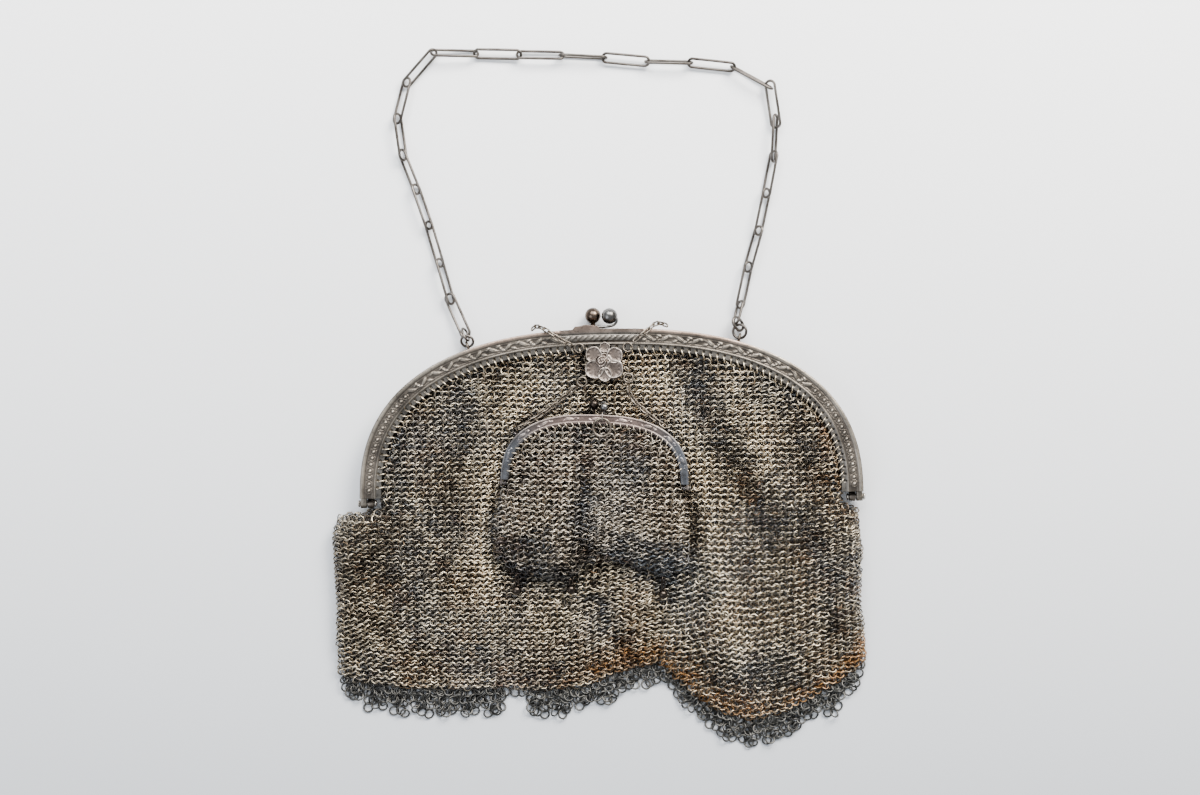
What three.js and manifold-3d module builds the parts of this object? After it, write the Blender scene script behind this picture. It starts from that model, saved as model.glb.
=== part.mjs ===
import * as THREE from 'three';
import { mergeVertices } from 'three/addons/utils/BufferGeometryUtils.js';
import Module from 'manifold-3d';

// A ring mesh purse lying on its back. Lengths are millimetres, angles are degrees. X runs along the
// line through the frame's hinges, Y from the hem towards the handle, and Z up from the surface that
// the purse lies on. Y is 0 at the feet of the frame's arch and X is 0 at its middle.

const wasm = await Module();
wasm.setup();

// Clearance between pieces that touch on the real purse
const GAP = 0.3;

// Main frame: two half frames that meet at the parting plane
const FRAME = {
  halfWidth: 87.6,
  rise: 58.7,
  squareness: 2.44,
  depth: 10,
  band: 7.5,
  wall: 1.3,
  plate: 0.9,
  relief: 0.45,
  rim: 1.4,
  ridgeInset: 4.9,
  ridge: 0.5,
  footTaper: 1,
  knuckleRadius: 1.6,
  knuckleLength: 2.2,
  knuckleReach: 0.2,
  hingeDrop: 1.1,
  pinRadius: 0.6,
  pinHead: 1.2,
  pinHeadLength: 0.7,
  earRadius: 1.45,
  earWire: 0.9,
  earStandOff: 1.4,
  steps: 22,
  facets: 8,
};

// Relief on the face of the main frame
const BEADS_PER_SIDE = 17;
const BEAD_RADIUS = 0.62;
const BEAD_PITCH = 2.4;
const SPRIGS_PER_SIDE = 5;
const SPRIG_PITCH = 11;
const SPRIG_LEAF = { length: 3.4, width: 1.2, height: 0.45, slant: 30 };
const RELIEF_INSET = 3.1;
const PLATE_SPAN = { left: 17, right: 12, height: 0.5, bandShare: 0.56, steps: 6 };
const CREST_SPAN = { left: 13, right: 3, height: 1.5, steps: 4 };
const GADROON = { length: 2.6, width: 0.9, height: 0.4, slant: 38, pitch: 2, inset: 3.2 };

// Clasp of the main frame
const CLASP_BALL = 5.6;
const CLASP_NECK = 1.7;
const BALL_STEPS = 5;
const CLASP_FOOT = { radius: 1.4, height: 0.6 };
const CLASP_LEFT = { x: -5.64, rise: 4.9, z: 3.4 };
const CLASP_RIGHT = { x: 0.17, rise: 4.5, z: 6.2 };
const CLASP_ARM = { width: 1.5, thickness: 0.9, start: 5.2, sweep: 3.2, seat: 0.32, steps: 8 };

// Handle chain
const LINK = { length: 17.45, width: 4.3, wire: 0.95 };
const SHORT_LINK = { length: 9.4, width: 4.3, wire: 0.95 };
const LEFT_RING = { length: 5.2, width: 5.2, wire: 0.9 };
const RIGHT_RING = { length: 5.8, width: 5.8, wire: 1 };
const LEFT_JUMP = { length: 5.6, width: 4.4, wire: 0.8 };
const RIGHT_JUMP = { length: 6.2, width: 4.9, wire: 1 };
const LINK_SIDES = 10;
const WIRE_SIDES = 5;
const LEFT_RING_ROLL = -8;
const EAR_HEIGHT = 2.6;
const EAR_LEFT_X = -49.3;
const EAR_RIGHT_X = 45.2;

// The route of the handle chain: the places where its links cross, from the left ear to the right
// one, with the link that runs on from each and how far that link is rolled about its own length
const HANDLE_ROUTE = [
  { x: -49.9, y: 56.3, z: 4.1, link: LEFT_JUMP, roll: 70 },
  { x: -50.8, y: 58.9, z: 3.1, link: LINK, roll: -15 },
  { x: -55.5, y: 69.8, z: 2.2, link: LINK, roll: 52 },
  { x: -59.1, y: 83.0, z: 2.2, link: LINK, roll: -42 },
  { x: -62.8, y: 96.1, z: 2.2, link: LINK, roll: 48 },
  { x: -67.2, y: 109.4, z: 2.2, link: LINK, roll: -47 },
  { x: -71.5, y: 120.7, z: 2.3, link: LINK, roll: 52 },
  { x: -73.2, y: 134.1, z: 2.1, link: LINK, roll: -37 },
  { x: -70.0, y: 146.2, z: 1.9, link: LINK, roll: 43 },
  { x: -60.3, y: 156.7, z: 3.1, link: LINK, roll: -46 },
  { x: -45.3, y: 156.3, z: 1.9, link: LINK, roll: 32 },
  { x: -30.2, y: 155.7, z: 2.3, link: LINK, roll: -35 },
  { x: -15.2, y: 155.2, z: 2.2, link: LINK, roll: 87 },
  { x: -0.3, y: 154.2, z: 2.2, link: LINK, roll: 22 },
  { x: 14.8, y: 152.6, z: 2.2, link: LINK, roll: -68 },
  { x: 29.9, y: 152.0, z: 2.2, link: LINK, roll: 36 },
  { x: 44.8, y: 150.2, z: 2.1, link: LINK, roll: -71 },
  { x: 57.9, y: 142.6, z: 3.1, link: LINK, roll: 24 },
  { x: 59.5, y: 131.2, z: 2.2, link: LINK, roll: -63 },
  { x: 58.7, y: 118.9, z: 2.2, link: LINK, roll: 46 },
  { x: 56.0, y: 105.8, z: 2.2, link: LINK, roll: -42 },
  { x: 53.0, y: 92.6, z: 2.2, link: LINK, roll: 44 },
  { x: 49.2, y: 79.8, z: 2.0, link: LINK, roll: -38 },
  { x: 46.3, y: 67.3, z: 2.3, link: SHORT_LINK, roll: 64 },
  { x: 44.5, y: 60.8, z: 3.9, link: RIGHT_JUMP, roll: -38 },
  { x: 46.0, y: 59.0, z: 3.0, link: RIGHT_RING, roll: 20 },
];

// Bag: its sides stand out past the frame, and its hem hangs below the hinges
const BAG_SPREAD = 6.7;
const BAG_OFFSET = -4.3;
const BAG_DROP = 68.8;
const BAG_THICKNESS = 9;
const BAG_HEM_THICKNESS = 6.6;
const BAG_EDGE_THICKNESS = 3.2;
const BAG_EDGE_ROUND = 7;
const MESH_WALL = 1.2;

// Rows of a bag's sheet: -1 is the mouth, 0 is level with the hinges and 1 is the hem
const SHEET_ROWS = [-1, -0.66, -0.33, 0, 0.03, 0.13, 0.33, 0.62, 1];
const HOLLOW_ROWS = [-1, -0.5, 0, 0.1, 0.5, 1];
const COIN_ROWS = [-1, -0.5, 0, 0.06, 0.35, 0.7, 1];
const HEM_GATHER = 0.09;
const SIDE_FAN = 5;

// Outline of the bag: x as a share of its half width, y as a share of its drop
const LEFT_SIDE = [
  { x: -0.815, y: -0.044 }, { x: -0.895, y: -0.05 }, { x: -0.972, y: -0.07 }, { x: -1.005, y: -0.17 },
  { x: -0.985, y: -0.38 }, { x: -0.982, y: -0.62 }, { x: -0.995, y: -0.862 },
];
const RIGHT_SIDE = [
  { x: 0.905, y: -0.044 }, { x: 0.958, y: -0.06 }, { x: 0.973, y: -0.22 }, { x: 0.984, y: -0.44 },
  { x: 0.952, y: -0.61 }, { x: 0.972, y: -0.7 }, { x: 0.995, y: -0.84 },
];
const HEM = [
  { x: -0.945, y: -0.915 }, { x: -0.78, y: -0.96 }, { x: -0.55, y: -0.985 }, { x: -0.34, y: -0.975 },
  { x: -0.14, y: -1.0 }, { x: 0.0, y: -0.94 }, { x: 0.2, y: -0.854 }, { x: 0.29, y: -0.965 },
  { x: 0.42, y: -1.105 }, { x: 0.54, y: -1.158 }, { x: 0.68, y: -1.12 }, { x: 0.82, y: -1.02 },
  { x: 0.945, y: -0.9 },
];

// Folds that run down the bag: their place at the mouth and at the hem and their half width, as
// shares of the bag's half width, and their height as a share of FOLD_HEIGHT
const FOLD_HEIGHT = 0.9;
const FOLDS = [
  { mouth: -0.66, hem: -0.82, width: 0.1, height: 0.7 },
  { mouth: -0.4, hem: -0.42, width: 0.09, height: 1 },
  { mouth: -0.14, hem: -0.16, width: 0.08, height: 0.6 },
  { mouth: 0.13, hem: 0.2, width: 0.08, height: 0.8 },
  { mouth: 0.36, hem: 0.46, width: 0.1, height: 1 },
  { mouth: 0.62, hem: 0.76, width: 0.1, height: 0.7 },
];

// Fringe: locks along the hem, with the length of each as a share of FRINGE_LENGTH
const FRINGE_LENGTH = 11;
const FRINGE_BACKING = 2.4;
const FRINGE_THICKNESS = 2.4;
const LOCK_ROOT = 0.9;
const LOCK_TIP = 0.56;
const LOCKS = [
  { length: 0.8 }, { length: 1 }, { length: 0.95 }, { length: 1 }, { length: 0.9 }, { length: 1 },
  { length: 0.95 }, { length: 0.4 }, { length: 0.95 }, { length: 1 }, { length: 0.85 },
  { length: 0.9 }, { length: 0.7 }, { length: 0.75 }, { length: 0.65 }, { length: 0.85 },
  { length: 0.8 }, { length: 1.1 }, { length: 1.1 }, { length: 1.05 }, { length: 1 },
  { length: 0.8 }, { length: 0.9 }, { length: 0.75 },
];

// Cast flower on the mesh under the clasp
const PLAQUE = { x: -1.96, y: 47.14, thickness: 0.9, boss: 1.4, slope: 0.86, sides: 9 };
const PETALS = [
  { x: 0.3, y: 5.1, radius: 1.9, level: 0 },
  { x: -3.6, y: 2.6, radius: 3.0, level: 0.1 },
  { x: 3.7, y: 2.2, radius: 3.0, level: 0.15 },
  { x: -3.4, y: -2.5, radius: 3.5, level: 0.3 },
  { x: 3.4, y: -2.5, radius: 3.5, level: 0.35 },
  { x: 0.2, y: -4.4, radius: 2.6, level: 0.45 },
];
const PLAQUE_BOSS = { x: -0.8, y: 0.2, radius: 2.1 };
const PLAQUE_RING = { length: 3.7, width: 3.7, wire: 0.55 };
const PLAQUE_RINGS = [
  { x: -8.6, y: 4.9 }, { x: 8.3, y: 5.0 }, { x: -7.7, y: -6.8 }, { x: 8.4, y: -5.7 },
];

// Small chains, each as wide as its fine links, with the few points of its route
const SMALL_CHAIN = { width: 1.5, sides: 6, steps: 8 };
const SMALL_CHAINS = [
  {
    name: 'safety_chain_left',
    route: [
      [-12.8, 52.9, 11.5], [-17.2, 55.2, 11.7], [-21.6, 58.2, 11.3],
      [-25.0, 59.8, 8.4], [-27.3, 58.8, 5.4],
    ],
  },
  {
    name: 'safety_chain_right',
    route: [
      [8.1, 53.8, 11.6], [12.4, 57.2, 11.6], [16.4, 60.2, 9.4],
      [19.2, 60.0, 6.4], [20.6, 59.3, 5.0],
    ],
  },
  {
    name: 'coin_chain_left',
    route: [
      [-11.4, 38.8, 11.3], [-13.4, 37.3, 11.2], [-21.8, 30.6, 11.2],
      [-29.4, 26.0, 11.5], [-32.7, 24.2, 11.7],
    ],
  },
  {
    name: 'coin_chain_right',
    route: [
      [6.2, 39.0, 11.3], [7.7, 34.4, 11.2], [12.1, 29.8, 11.2],
      [16.4, 26.2, 11.4], [19.6, 23.9, 11.4],
    ],
  },
];

// Coin purse on the front of the bag, in its own axes, with its feet on the line through its hinges
const COIN_PLACE = { x: -5.9, y: 4.9, lift: 1.2, turn: -2.5 };
const COIN = {
  halfWidth: 32.5,
  rise: 24,
  squareness: 2.6,
  depth: 4.8,
  band: 3.2,
  wall: 0.8,
  plate: 0.7,
  relief: 0.25,
  rim: 0.6,
  ridgeInset: 2.4,
  ridge: 0.4,
  footTaper: 0.78,
  knuckleRadius: 0.95,
  knuckleLength: 0.9,
  knuckleReach: 0.2,
  hingeDrop: 0.5,
  pinRadius: 0.3,
  pinHead: 0.8,
  pinHeadLength: 0.3,
  earRadius: 0.9,
  earWire: 0.5,
  earStandOff: 0.6,
  steps: 14,
  facets: 6,
};
const COIN_LEAVES = { count: 9, margin: 0.1, length: 3.2, width: 1.1, height: 0.3, slant: 12, inset: 1.5 };
const COIN_BALLS = [
  { name: 'coin_clasp_left', x: -0.9, radius: 1.7, rise: 3.3, side: -1 },
  { name: 'coin_clasp_right', x: 2.6, radius: 1.45, rise: 2.4, side: 1 },
];
const COIN_NECK = 0.9;
const COIN_BAG = { spread: 3, drop: 33, thickness: 4.2, edge: 2, wall: 1 };
const COIN_LEFT_SIDE = [
  { x: -0.93, y: -0.1 }, { x: -0.99, y: -0.4 }, { x: -1.0, y: -0.6 }, { x: -0.955, y: -0.8 },
];
const COIN_RIGHT_SIDE = [
  { x: 0.93, y: -0.1 }, { x: 0.99, y: -0.4 }, { x: 1.01, y: -0.66 }, { x: 0.95, y: -0.88 },
];
const COIN_HEM = [
  { x: -0.72, y: -0.96 }, { x: -0.4, y: -1.01 }, { x: -0.17, y: -0.97 }, { x: -0.04, y: -0.83 },
  { x: 0.25, y: -0.81 }, { x: 0.5, y: -0.88 }, { x: 0.7, y: -0.94 },
];
const COIN_FOLD_HEIGHT = 0.7;
const COIN_FOLDS = [
  { mouth: -0.55, hem: -0.7, width: 0.18, height: 0.8 },
  { mouth: -0.28, hem: -0.34, width: 0.12, height: 1 },
  { mouth: 0.12, hem: 0.1, width: 0.2, height: 0.9 },
  { mouth: 0.55, hem: 0.6, width: 0.2, height: 0.8 },
];
const COIN_EARS = { left: -27.4, right: 24.6 };
const PULL_EAR = { x: 2, inset: 0.7, length: 3.6, width: 2.9, wire: 0.5, lift: 0.7 };
const PULL_RING = { length: 7, width: 7, wire: 0.7 };
const DROP_BALL = 3.3;
const DROP_LOOP = { width: 1.9, wire: 0.5 };
const DROPS = [{ x: -0.73, loop: 4.6 }, { x: -0.2, loop: 3 }, { x: 0.7, loop: 5 }];

// Materials
const metal = (color, roughness) => new THREE.MeshStandardMaterial({ color, roughness, metalness: 0.9 });
const MATERIALS = {
  cast: metal('#8d8982', 0.4),
  polished: metal('#6f6a63', 0.28),
  wire: metal('#7d7972', 0.35),
  mesh: metal('#8f8575', 0.5),
  darkMesh: metal('#6e675c', 0.5),
  fringe: metal('#3b3c3e', 0.5),
};

const radians = (degrees) => THREE.MathUtils.degToRad(degrees);

// Geometry helpers

// Keeps only positions, merges shared vertices and drops triangles that have no area
function cleaned(geometry) {
  const bare = new THREE.BufferGeometry();
  bare.setAttribute('position', geometry.getAttribute('position').clone());
  if (geometry.index) bare.setIndex(geometry.index.clone());
  const merged = mergeVertices(bare, 1e-5);
  const old = merged.index.array;
  const kept = [];
  for (let i = 0; i < old.length; i += 3) {
    const [a, b, c] = [old[i], old[i + 1], old[i + 2]];
    if (a !== b && b !== c && c !== a) kept.push(a, b, c);
  }
  merged.setIndex(kept);
  return merged;
}

function toSolid(geometry) {
  const merged = cleaned(geometry);
  return new wasm.Manifold(new wasm.Mesh({
    numProp: 3,
    vertProperties: Float32Array.from(merged.getAttribute('position').array),
    triVerts: Uint32Array.from(merged.index.array),
  }));
}

function toGeometry(solid) {
  const mesh = solid.getMesh();
  const geometry = new THREE.BufferGeometry();
  geometry.setAttribute('position', new THREE.BufferAttribute(mesh.vertProperties, 3));
  geometry.setIndex(new THREE.BufferAttribute(mesh.triVerts, 1));
  geometry.computeVertexNormals();
  return geometry;
}

function joined(solids) {
  return solids.reduce((whole, solid) => whole.add(solid));
}

function addPiece(group, name, geometry, material) {
  const mesh = new THREE.Mesh(geometry, material);
  mesh.name = name;
  group.add(mesh);
  return mesh;
}

// A closed skin over rings of points, with a flat cap on the first and last ring
function loft(rings) {
  const count = rings[0].length;
  const indices = [];
  for (let ring = 0; ring < rings.length - 1; ring += 1) {
    for (let k = 0; k < count; k += 1) {
      const next = (k + 1) % count;
      const [a, b] = [ring * count + k, ring * count + next];
      indices.push(a, b, b + count, a, b + count, a + count);
    }
  }
  const capFaces = capOf(rings[0]);
  const last = (rings.length - 1) * count;
  for (const [a, b, c] of capFaces) {
    indices.push(c, b, a, a + last, b + last, c + last);
  }
  const geometry = new THREE.BufferGeometry().setFromPoints(rings.flat());
  geometry.setIndex(indices);
  return facingOut(geometry);
}

// Triangles over a flat ring of points, in the ring's own order
function capOf(ring) {
  const normal = new THREE.Vector3();
  ring.forEach((point, k) => {
    normal.add(point.clone().cross(ring[(k + 1) % ring.length]));
  });
  const turn = new THREE.Quaternion().setFromUnitVectors(normal.normalize(), new THREE.Vector3(0, 0, 1));
  const flat = ring.map((point) => point.clone().applyQuaternion(turn));
  return THREE.ShapeUtils.triangulateShape(flat.map(({ x, y }) => new THREE.Vector2(x, y)), []);
}

function facingOut(geometry) {
  const points = geometry.getAttribute('position');
  const order = geometry.index.array;
  const [a, b, c] = [new THREE.Vector3(), new THREE.Vector3(), new THREE.Vector3()];
  let volume = 0;
  for (let i = 0; i < order.length; i += 3) {
    a.fromBufferAttribute(points, order[i]);
    b.fromBufferAttribute(points, order[i + 1]);
    c.fromBufferAttribute(points, order[i + 2]);
    volume += a.dot(b.cross(c));
  }
  if (volume < 0) geometry.setIndex(Array.from(order).reverse());
  return geometry;
}

function boxSolid(x0, x1, y0, y1, z0, z1) {
  const geometry = new THREE.BoxGeometry(Math.abs(x1 - x0), Math.abs(y1 - y0), Math.abs(z1 - z0));
  geometry.translate((x0 + x1) / 2, (y0 + y1) / 2, (z0 + z1) / 2);
  return toSolid(geometry);
}

// A cylinder along X
function barSolid(x0, x1, y, z, radius, sides) {
  const geometry = new THREE.CylinderGeometry(radius, radius, Math.abs(x1 - x0), sides);
  geometry.rotateZ(Math.PI / 2).translate((x0 + x1) / 2, y, z);
  return toSolid(geometry);
}

// A closed wire link lying along X: a ring that is pulled out to its length
function linkGeometry({ length, width, wire }) {
  const geometry = new THREE.TorusGeometry((width - wire) / 2, wire / 2, WIRE_SIDES, LINK_SIDES);
  const pull = (length - width) / 2;
  const points = geometry.getAttribute('position');
  for (let i = 0; i < points.count; i += 1) {
    points.setX(i, points.getX(i) + Math.sign(points.getX(i)) * pull);
  }
  return cleaned(geometry);
}

// Lays a link with its middle at a point, its length along a direction and rolled about it
function layLink(geometry, middle, direction, roll) {
  const side = new THREE.Vector3(0, 0, 1).cross(direction).normalize();
  const up = direction.clone().cross(side).normalize();
  const basis = new THREE.Matrix4().makeBasis(direction, side, up);
  geometry.rotateX(radians(roll));
  geometry.applyMatrix4(basis);
  geometry.translate(middle.x, middle.y, middle.z);
  return geometry;
}

function linkBetween(size, from, to, roll) {
  const direction = to.clone().sub(from).normalize();
  const middle = from.clone().add(to).multiplyScalar(0.5);
  return layLink(linkGeometry(size), middle, direction, roll);
}

// The end of a ring's run that lets its wire pass through the middle of an ear
function ringEnd(ear, next, { wire }) {
  const direction = next.clone().sub(ear).normalize();
  return ear.clone().addScaledVector(direction, (wire + GAP) / 2);
}

// Arches

// Half a superellipse from the left foot over the top to the right foot
class Arch extends THREE.Curve {
  constructor(frame, base) {
    super();
    this.frame = frame;
    this.base = base;
    this.parting = base + frame.depth / 2;
    this.arcLengthDivisions = 400;
  }

  getPoint(t, target = new THREE.Vector3()) {
    const { halfWidth, rise, squareness } = this.frame;
    const cosine = Math.cos(Math.PI * (1 - t));
    const sine = Math.max(0, Math.sin(Math.PI * (1 - t)));
    const x = Math.sign(cosine) * halfWidth * Math.abs(cosine) ** (2 / squareness);
    return target.set(x, rise * sine ** (2 / squareness), 0);
  }

  outward(point) {
    const { halfWidth, rise, squareness } = this.frame;
    const x = Math.sign(point.x) * (Math.abs(point.x) / halfWidth) ** (squareness - 1) / halfWidth;
    const y = (point.y / rise) ** (squareness - 1) / rise;
    return new THREE.Vector3(x, y, 0).normalize();
  }

  // The point at a share of the arch's length, moved inwards from its outer edge
  at(share, inset = 0, z = 0) {
    const edge = this.getPointAt(share);
    const point = edge.clone().addScaledVector(this.outward(edge), -inset);
    return point.setZ(z);
  }

  // How much of its full width the band has at a share of the length
  fullness(share) {
    const { footTaper } = this.frame;
    const reach = Math.min(1, 4 * Math.min(share, 1 - share));
    return footTaper + (1 - footTaper) * Math.sqrt(reach);
  }

  // The share of the length at which the outer edge has an x
  shareAtX(x) {
    let [low, high] = [0, 1];
    for (let i = 0; i < 30; i += 1) {
      const middle = (low + high) / 2;
      if (this.getPointAt(middle).x < x) low = middle;
      else high = middle;
    }
    return (low + high) / 2;
  }

  // The share at which the feet end, clear above the hinge knuckles
  footShare() {
    const { knuckleRadius, hingeDrop } = this.frame;
    return (knuckleRadius - hingeDrop + GAP) / this.getLength();
  }
}

// A band along an arch, with a profile of insets and heights above the parting plane
function archBand(arch, profile, side, from, to, steps) {
  const rings = [];
  for (let i = 0; i <= steps; i += 1) {
    const share = from + (to - from) * i / steps;
    const fullness = arch.fullness(share);
    rings.push(profile.map(([inset, height]) => arch.at(
      share,
      inset * (inset > 0 ? fullness : 1),
      arch.parting + side * (GAP / 2 + height),
    )));
  }
  return toSolid(loft(rings));
}

function frontProfile({ depth, band, wall, plate, relief, rim, ridgeInset, ridge }) {
  const top = (depth - GAP) / 2;
  const bed = top - relief;
  return [
    [0, 0], [0, bed], [relief, top], [rim, top], [rim + relief, bed],
    [ridgeInset, bed], [ridgeInset, top - relief / 3], [ridgeInset + ridge, top - relief / 3],
    [ridgeInset + ridge, bed], [band, bed], [band, bed - plate], [wall, bed - plate], [wall, 0],
  ];
}

function backProfile({ depth, band, wall, plate }) {
  const top = (depth - GAP) / 2;
  return [[0, 0], [0, top], [band, top], [band, top - plate], [wall, top - plate], [wall, 0]];
}

// A pointed leaf or bead of low relief on the bed of a front band
function reliefStud(arch, share, inset, { length, width, height, slant = 0 }) {
  const { depth, relief } = arch.frame;
  const bed = arch.parting + depth / 2 - relief;
  const place = arch.at(share, inset, bed);
  const outward = arch.outward(arch.getPointAt(share));
  const geometry = new THREE.OctahedronGeometry(1, 0);
  geometry.scale(length / 2, width / 2, height);
  geometry.rotateZ(Math.atan2(outward.y, outward.x) - Math.PI / 2 + radians(slant));
  geometry.translate(place.x, place.y, place.z);
  return toSolid(geometry);
}

// An ear that stands on the outer wall, in the plane of the wall's own direction and Z
function earSolid(arch, x, z) {
  const { earRadius, earWire, earStandOff } = arch.frame;
  const share = arch.shareAtX(x);
  const outward = arch.outward(arch.getPointAt(share));
  const centre = arch.at(share, -earStandOff, z);
  const geometry = new THREE.TorusGeometry(earRadius, earWire / 2, WIRE_SIDES, LINK_SIDES);
  geometry.rotateX(Math.PI / 2);
  geometry.rotateZ(Math.atan2(outward.y, outward.x));
  geometry.translate(centre.x, centre.y, centre.z);
  return toSolid(geometry);
}

// Where a ring's wire passes through an ear
function earCentre(arch, x, z) {
  const { earStandOff } = arch.frame;
  return arch.at(arch.shareAtX(x), -earStandOff, z);
}

// Knuckles: the front half carries the outer one and the back half the inner one
function knuckleSpan(frame, half) {
  const { halfWidth, knuckleLength, knuckleReach } = frame;
  const outer = halfWidth + knuckleReach - (half > 0 ? 0 : knuckleLength + GAP);
  return { inner: outer - knuckleLength, outer };
}

function withKnuckles(solid, arch, half) {
  const { frame } = arch;
  const { halfWidth, wall, knuckleRadius, hingeDrop, pinRadius, footTaper, facets } = frame;
  const { inner, outer } = knuckleSpan(frame, half);
  const boreRadius = (pinRadius + GAP) / Math.cos(Math.PI / facets);
  const footY = knuckleRadius - hingeDrop + GAP;
  const near = arch.parting + half * GAP / 2;
  const far = arch.parting + half * knuckleRadius;
  const wallInner = halfWidth - wall * footTaper;
  let whole = solid;
  for (const side of [-1, 1]) {
    const reach = Math.min(outer, halfWidth);
    const neckStart = half > 0 ? wallInner : inner;
    const neck = boxSolid(side * neckStart, side * halfWidth, footY, footY + wall, near, far);
    const drop = boxSolid(side * inner, side * reach, -hingeDrop, footY + GAP, near, far);
    const barrel = barSolid(side * inner, side * outer, -hingeDrop, arch.parting, knuckleRadius, facets);
    const bore = barSolid(
      side * (inner - 1), side * (outer + 1), -hingeDrop, arch.parting, boreRadius, facets,
    );
    whole = joined([whole, neck, drop, barrel]).subtract(bore);
  }
  return whole;
}

function hingePin(arch, side) {
  const { frame } = arch;
  const { pinRadius, pinHead, pinHeadLength, hingeDrop } = frame;
  const start = knuckleSpan(frame, -1).inner - GAP;
  const end = knuckleSpan(frame, 1).outer + GAP;
  const outline = [
    [0, start - pinHeadLength], [pinHead * 0.8, start - pinHeadLength], [pinHead, start],
    [pinRadius, start], [pinRadius, end], [pinHead, end], [pinHead * 0.8, end + pinHeadLength],
    [0, end + pinHeadLength],
  ].map(([radius, height]) => new THREE.Vector2(radius, height));
  const geometry = new THREE.LatheGeometry(outline, 8);
  geometry.rotateZ(-side * Math.PI / 2).translate(0, -hingeDrop, arch.parting);
  return toGeometry(toSolid(facingOut(cleaned(geometry))));
}

// Main frame

function mainFrontSolid(arch) {
  const foot = arch.footShare();
  const { band, depth, steps } = FRAME;
  const top = (depth - GAP) / 2;
  const solids = [archBand(arch, frontProfile(FRAME), 1, foot, 1 - foot, steps)];

  const [plateFrom, plateTo] = [arch.shareAtX(-PLATE_SPAN.left), arch.shareAtX(PLATE_SPAN.right)];
  const plateTop = top - FRAME.relief + PLATE_SPAN.height;
  const plateBand = band * PLATE_SPAN.bandShare;
  const plateProfile = [
    [0, top - FRAME.plate], [0, plateTop], [plateBand, plateTop], [plateBand, top - FRAME.plate],
  ];
  solids.push(archBand(arch, plateProfile, 1, plateFrom, plateTo, PLATE_SPAN.steps));

  const [crestFrom, crestTo] = [arch.shareAtX(-CREST_SPAN.left), arch.shareAtX(-CREST_SPAN.right)];
  const crestProfile = [
    [-CREST_SPAN.height, top - FRAME.plate], [-CREST_SPAN.height, plateTop],
    [FRAME.wall, plateTop], [FRAME.wall, top - FRAME.plate],
  ];
  solids.push(archBand(arch, crestProfile, 1, crestFrom, crestTo, CREST_SPAN.steps));

  const length = arch.getLength();
  const bead = { length: 2 * BEAD_RADIUS, width: 2 * BEAD_RADIUS, height: BEAD_RADIUS };
  for (const end of [0, 1]) {
    const along = (distance) => (end ? 1 - distance / length : distance / length);
    for (let i = 0; i < BEADS_PER_SIDE; i += 1) {
      solids.push(reliefStud(arch, along((i + 1.5) * BEAD_PITCH), RELIEF_INSET, bead));
    }
    const sprigStart = (BEADS_PER_SIDE + 2) * BEAD_PITCH;
    for (let i = 0; i < SPRIGS_PER_SIDE; i += 1) {
      const place = sprigStart + i * SPRIG_PITCH;
      solids.push(reliefStud(arch, along(place), RELIEF_INSET, SPRIG_LEAF));
      solids.push(reliefStud(arch, along(place + SPRIG_PITCH / 2), RELIEF_INSET,
        { ...SPRIG_LEAF, slant: -SPRIG_LEAF.slant }));
      solids.push(reliefStud(arch, along(place + SPRIG_PITCH / 4), RELIEF_INSET, bead));
    }
  }
  const whole = joined(solids);
  const ribs = Math.floor((PLATE_SPAN.left + PLATE_SPAN.right) / GADROON.pitch) - 1;
  const rise = PLATE_SPAN.height;
  const marks = Array.from({ length: ribs }, (_, i) => {
    const share = arch.shareAtX(-PLATE_SPAN.left + (i + 1) * GADROON.pitch);
    return reliefStud(arch, share, GADROON.inset, { ...GADROON, height: rise + GADROON.height });
  });
  return withKnuckles(joined([whole, ...marks]), arch, 1);
}

function backSolid(arch, ears) {
  const foot = arch.footShare();
  const band = archBand(arch, backProfile(arch.frame), -1, foot, 1 - foot, arch.frame.steps);
  return withKnuckles(joined([band, ...ears]), arch, -1);
}

// A ball on a neck that stands on the outer wall, as one turned piece along Y
function turnedBall(radius, neck, foot, footY, ballY, sides) {
  const angle = Math.acos(Math.min(0.99, neck / 2 / radius));
  const outline = [[0, footY]];
  if (foot) outline.push([foot.radius, footY], [foot.radius, footY + foot.height]);
  outline.push([neck / 2, footY + (foot ? foot.height : 0)]);
  for (let i = 0; i <= BALL_STEPS; i += 1) {
    const turn = -angle + (angle + Math.PI / 2) * i / BALL_STEPS;
    const reach = i === BALL_STEPS ? 0 : radius * Math.cos(turn);
    outline.push([reach, ballY + radius * Math.sin(turn)]);
  }
  const points = outline.map(([x, y]) => new THREE.Vector2(x, y));
  return facingOut(cleaned(new THREE.LatheGeometry(points, sides)));
}

function claspLeft(arch) {
  const edge = arch.at(arch.shareAtX(CLASP_LEFT.x)).y;
  const geometry = turnedBall(
    CLASP_BALL / 2, CLASP_NECK, CLASP_FOOT, edge + GAP, edge + CLASP_LEFT.rise, 10,
  );
  return geometry.translate(CLASP_LEFT.x, 0, arch.base + CLASP_LEFT.z);
}

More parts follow.
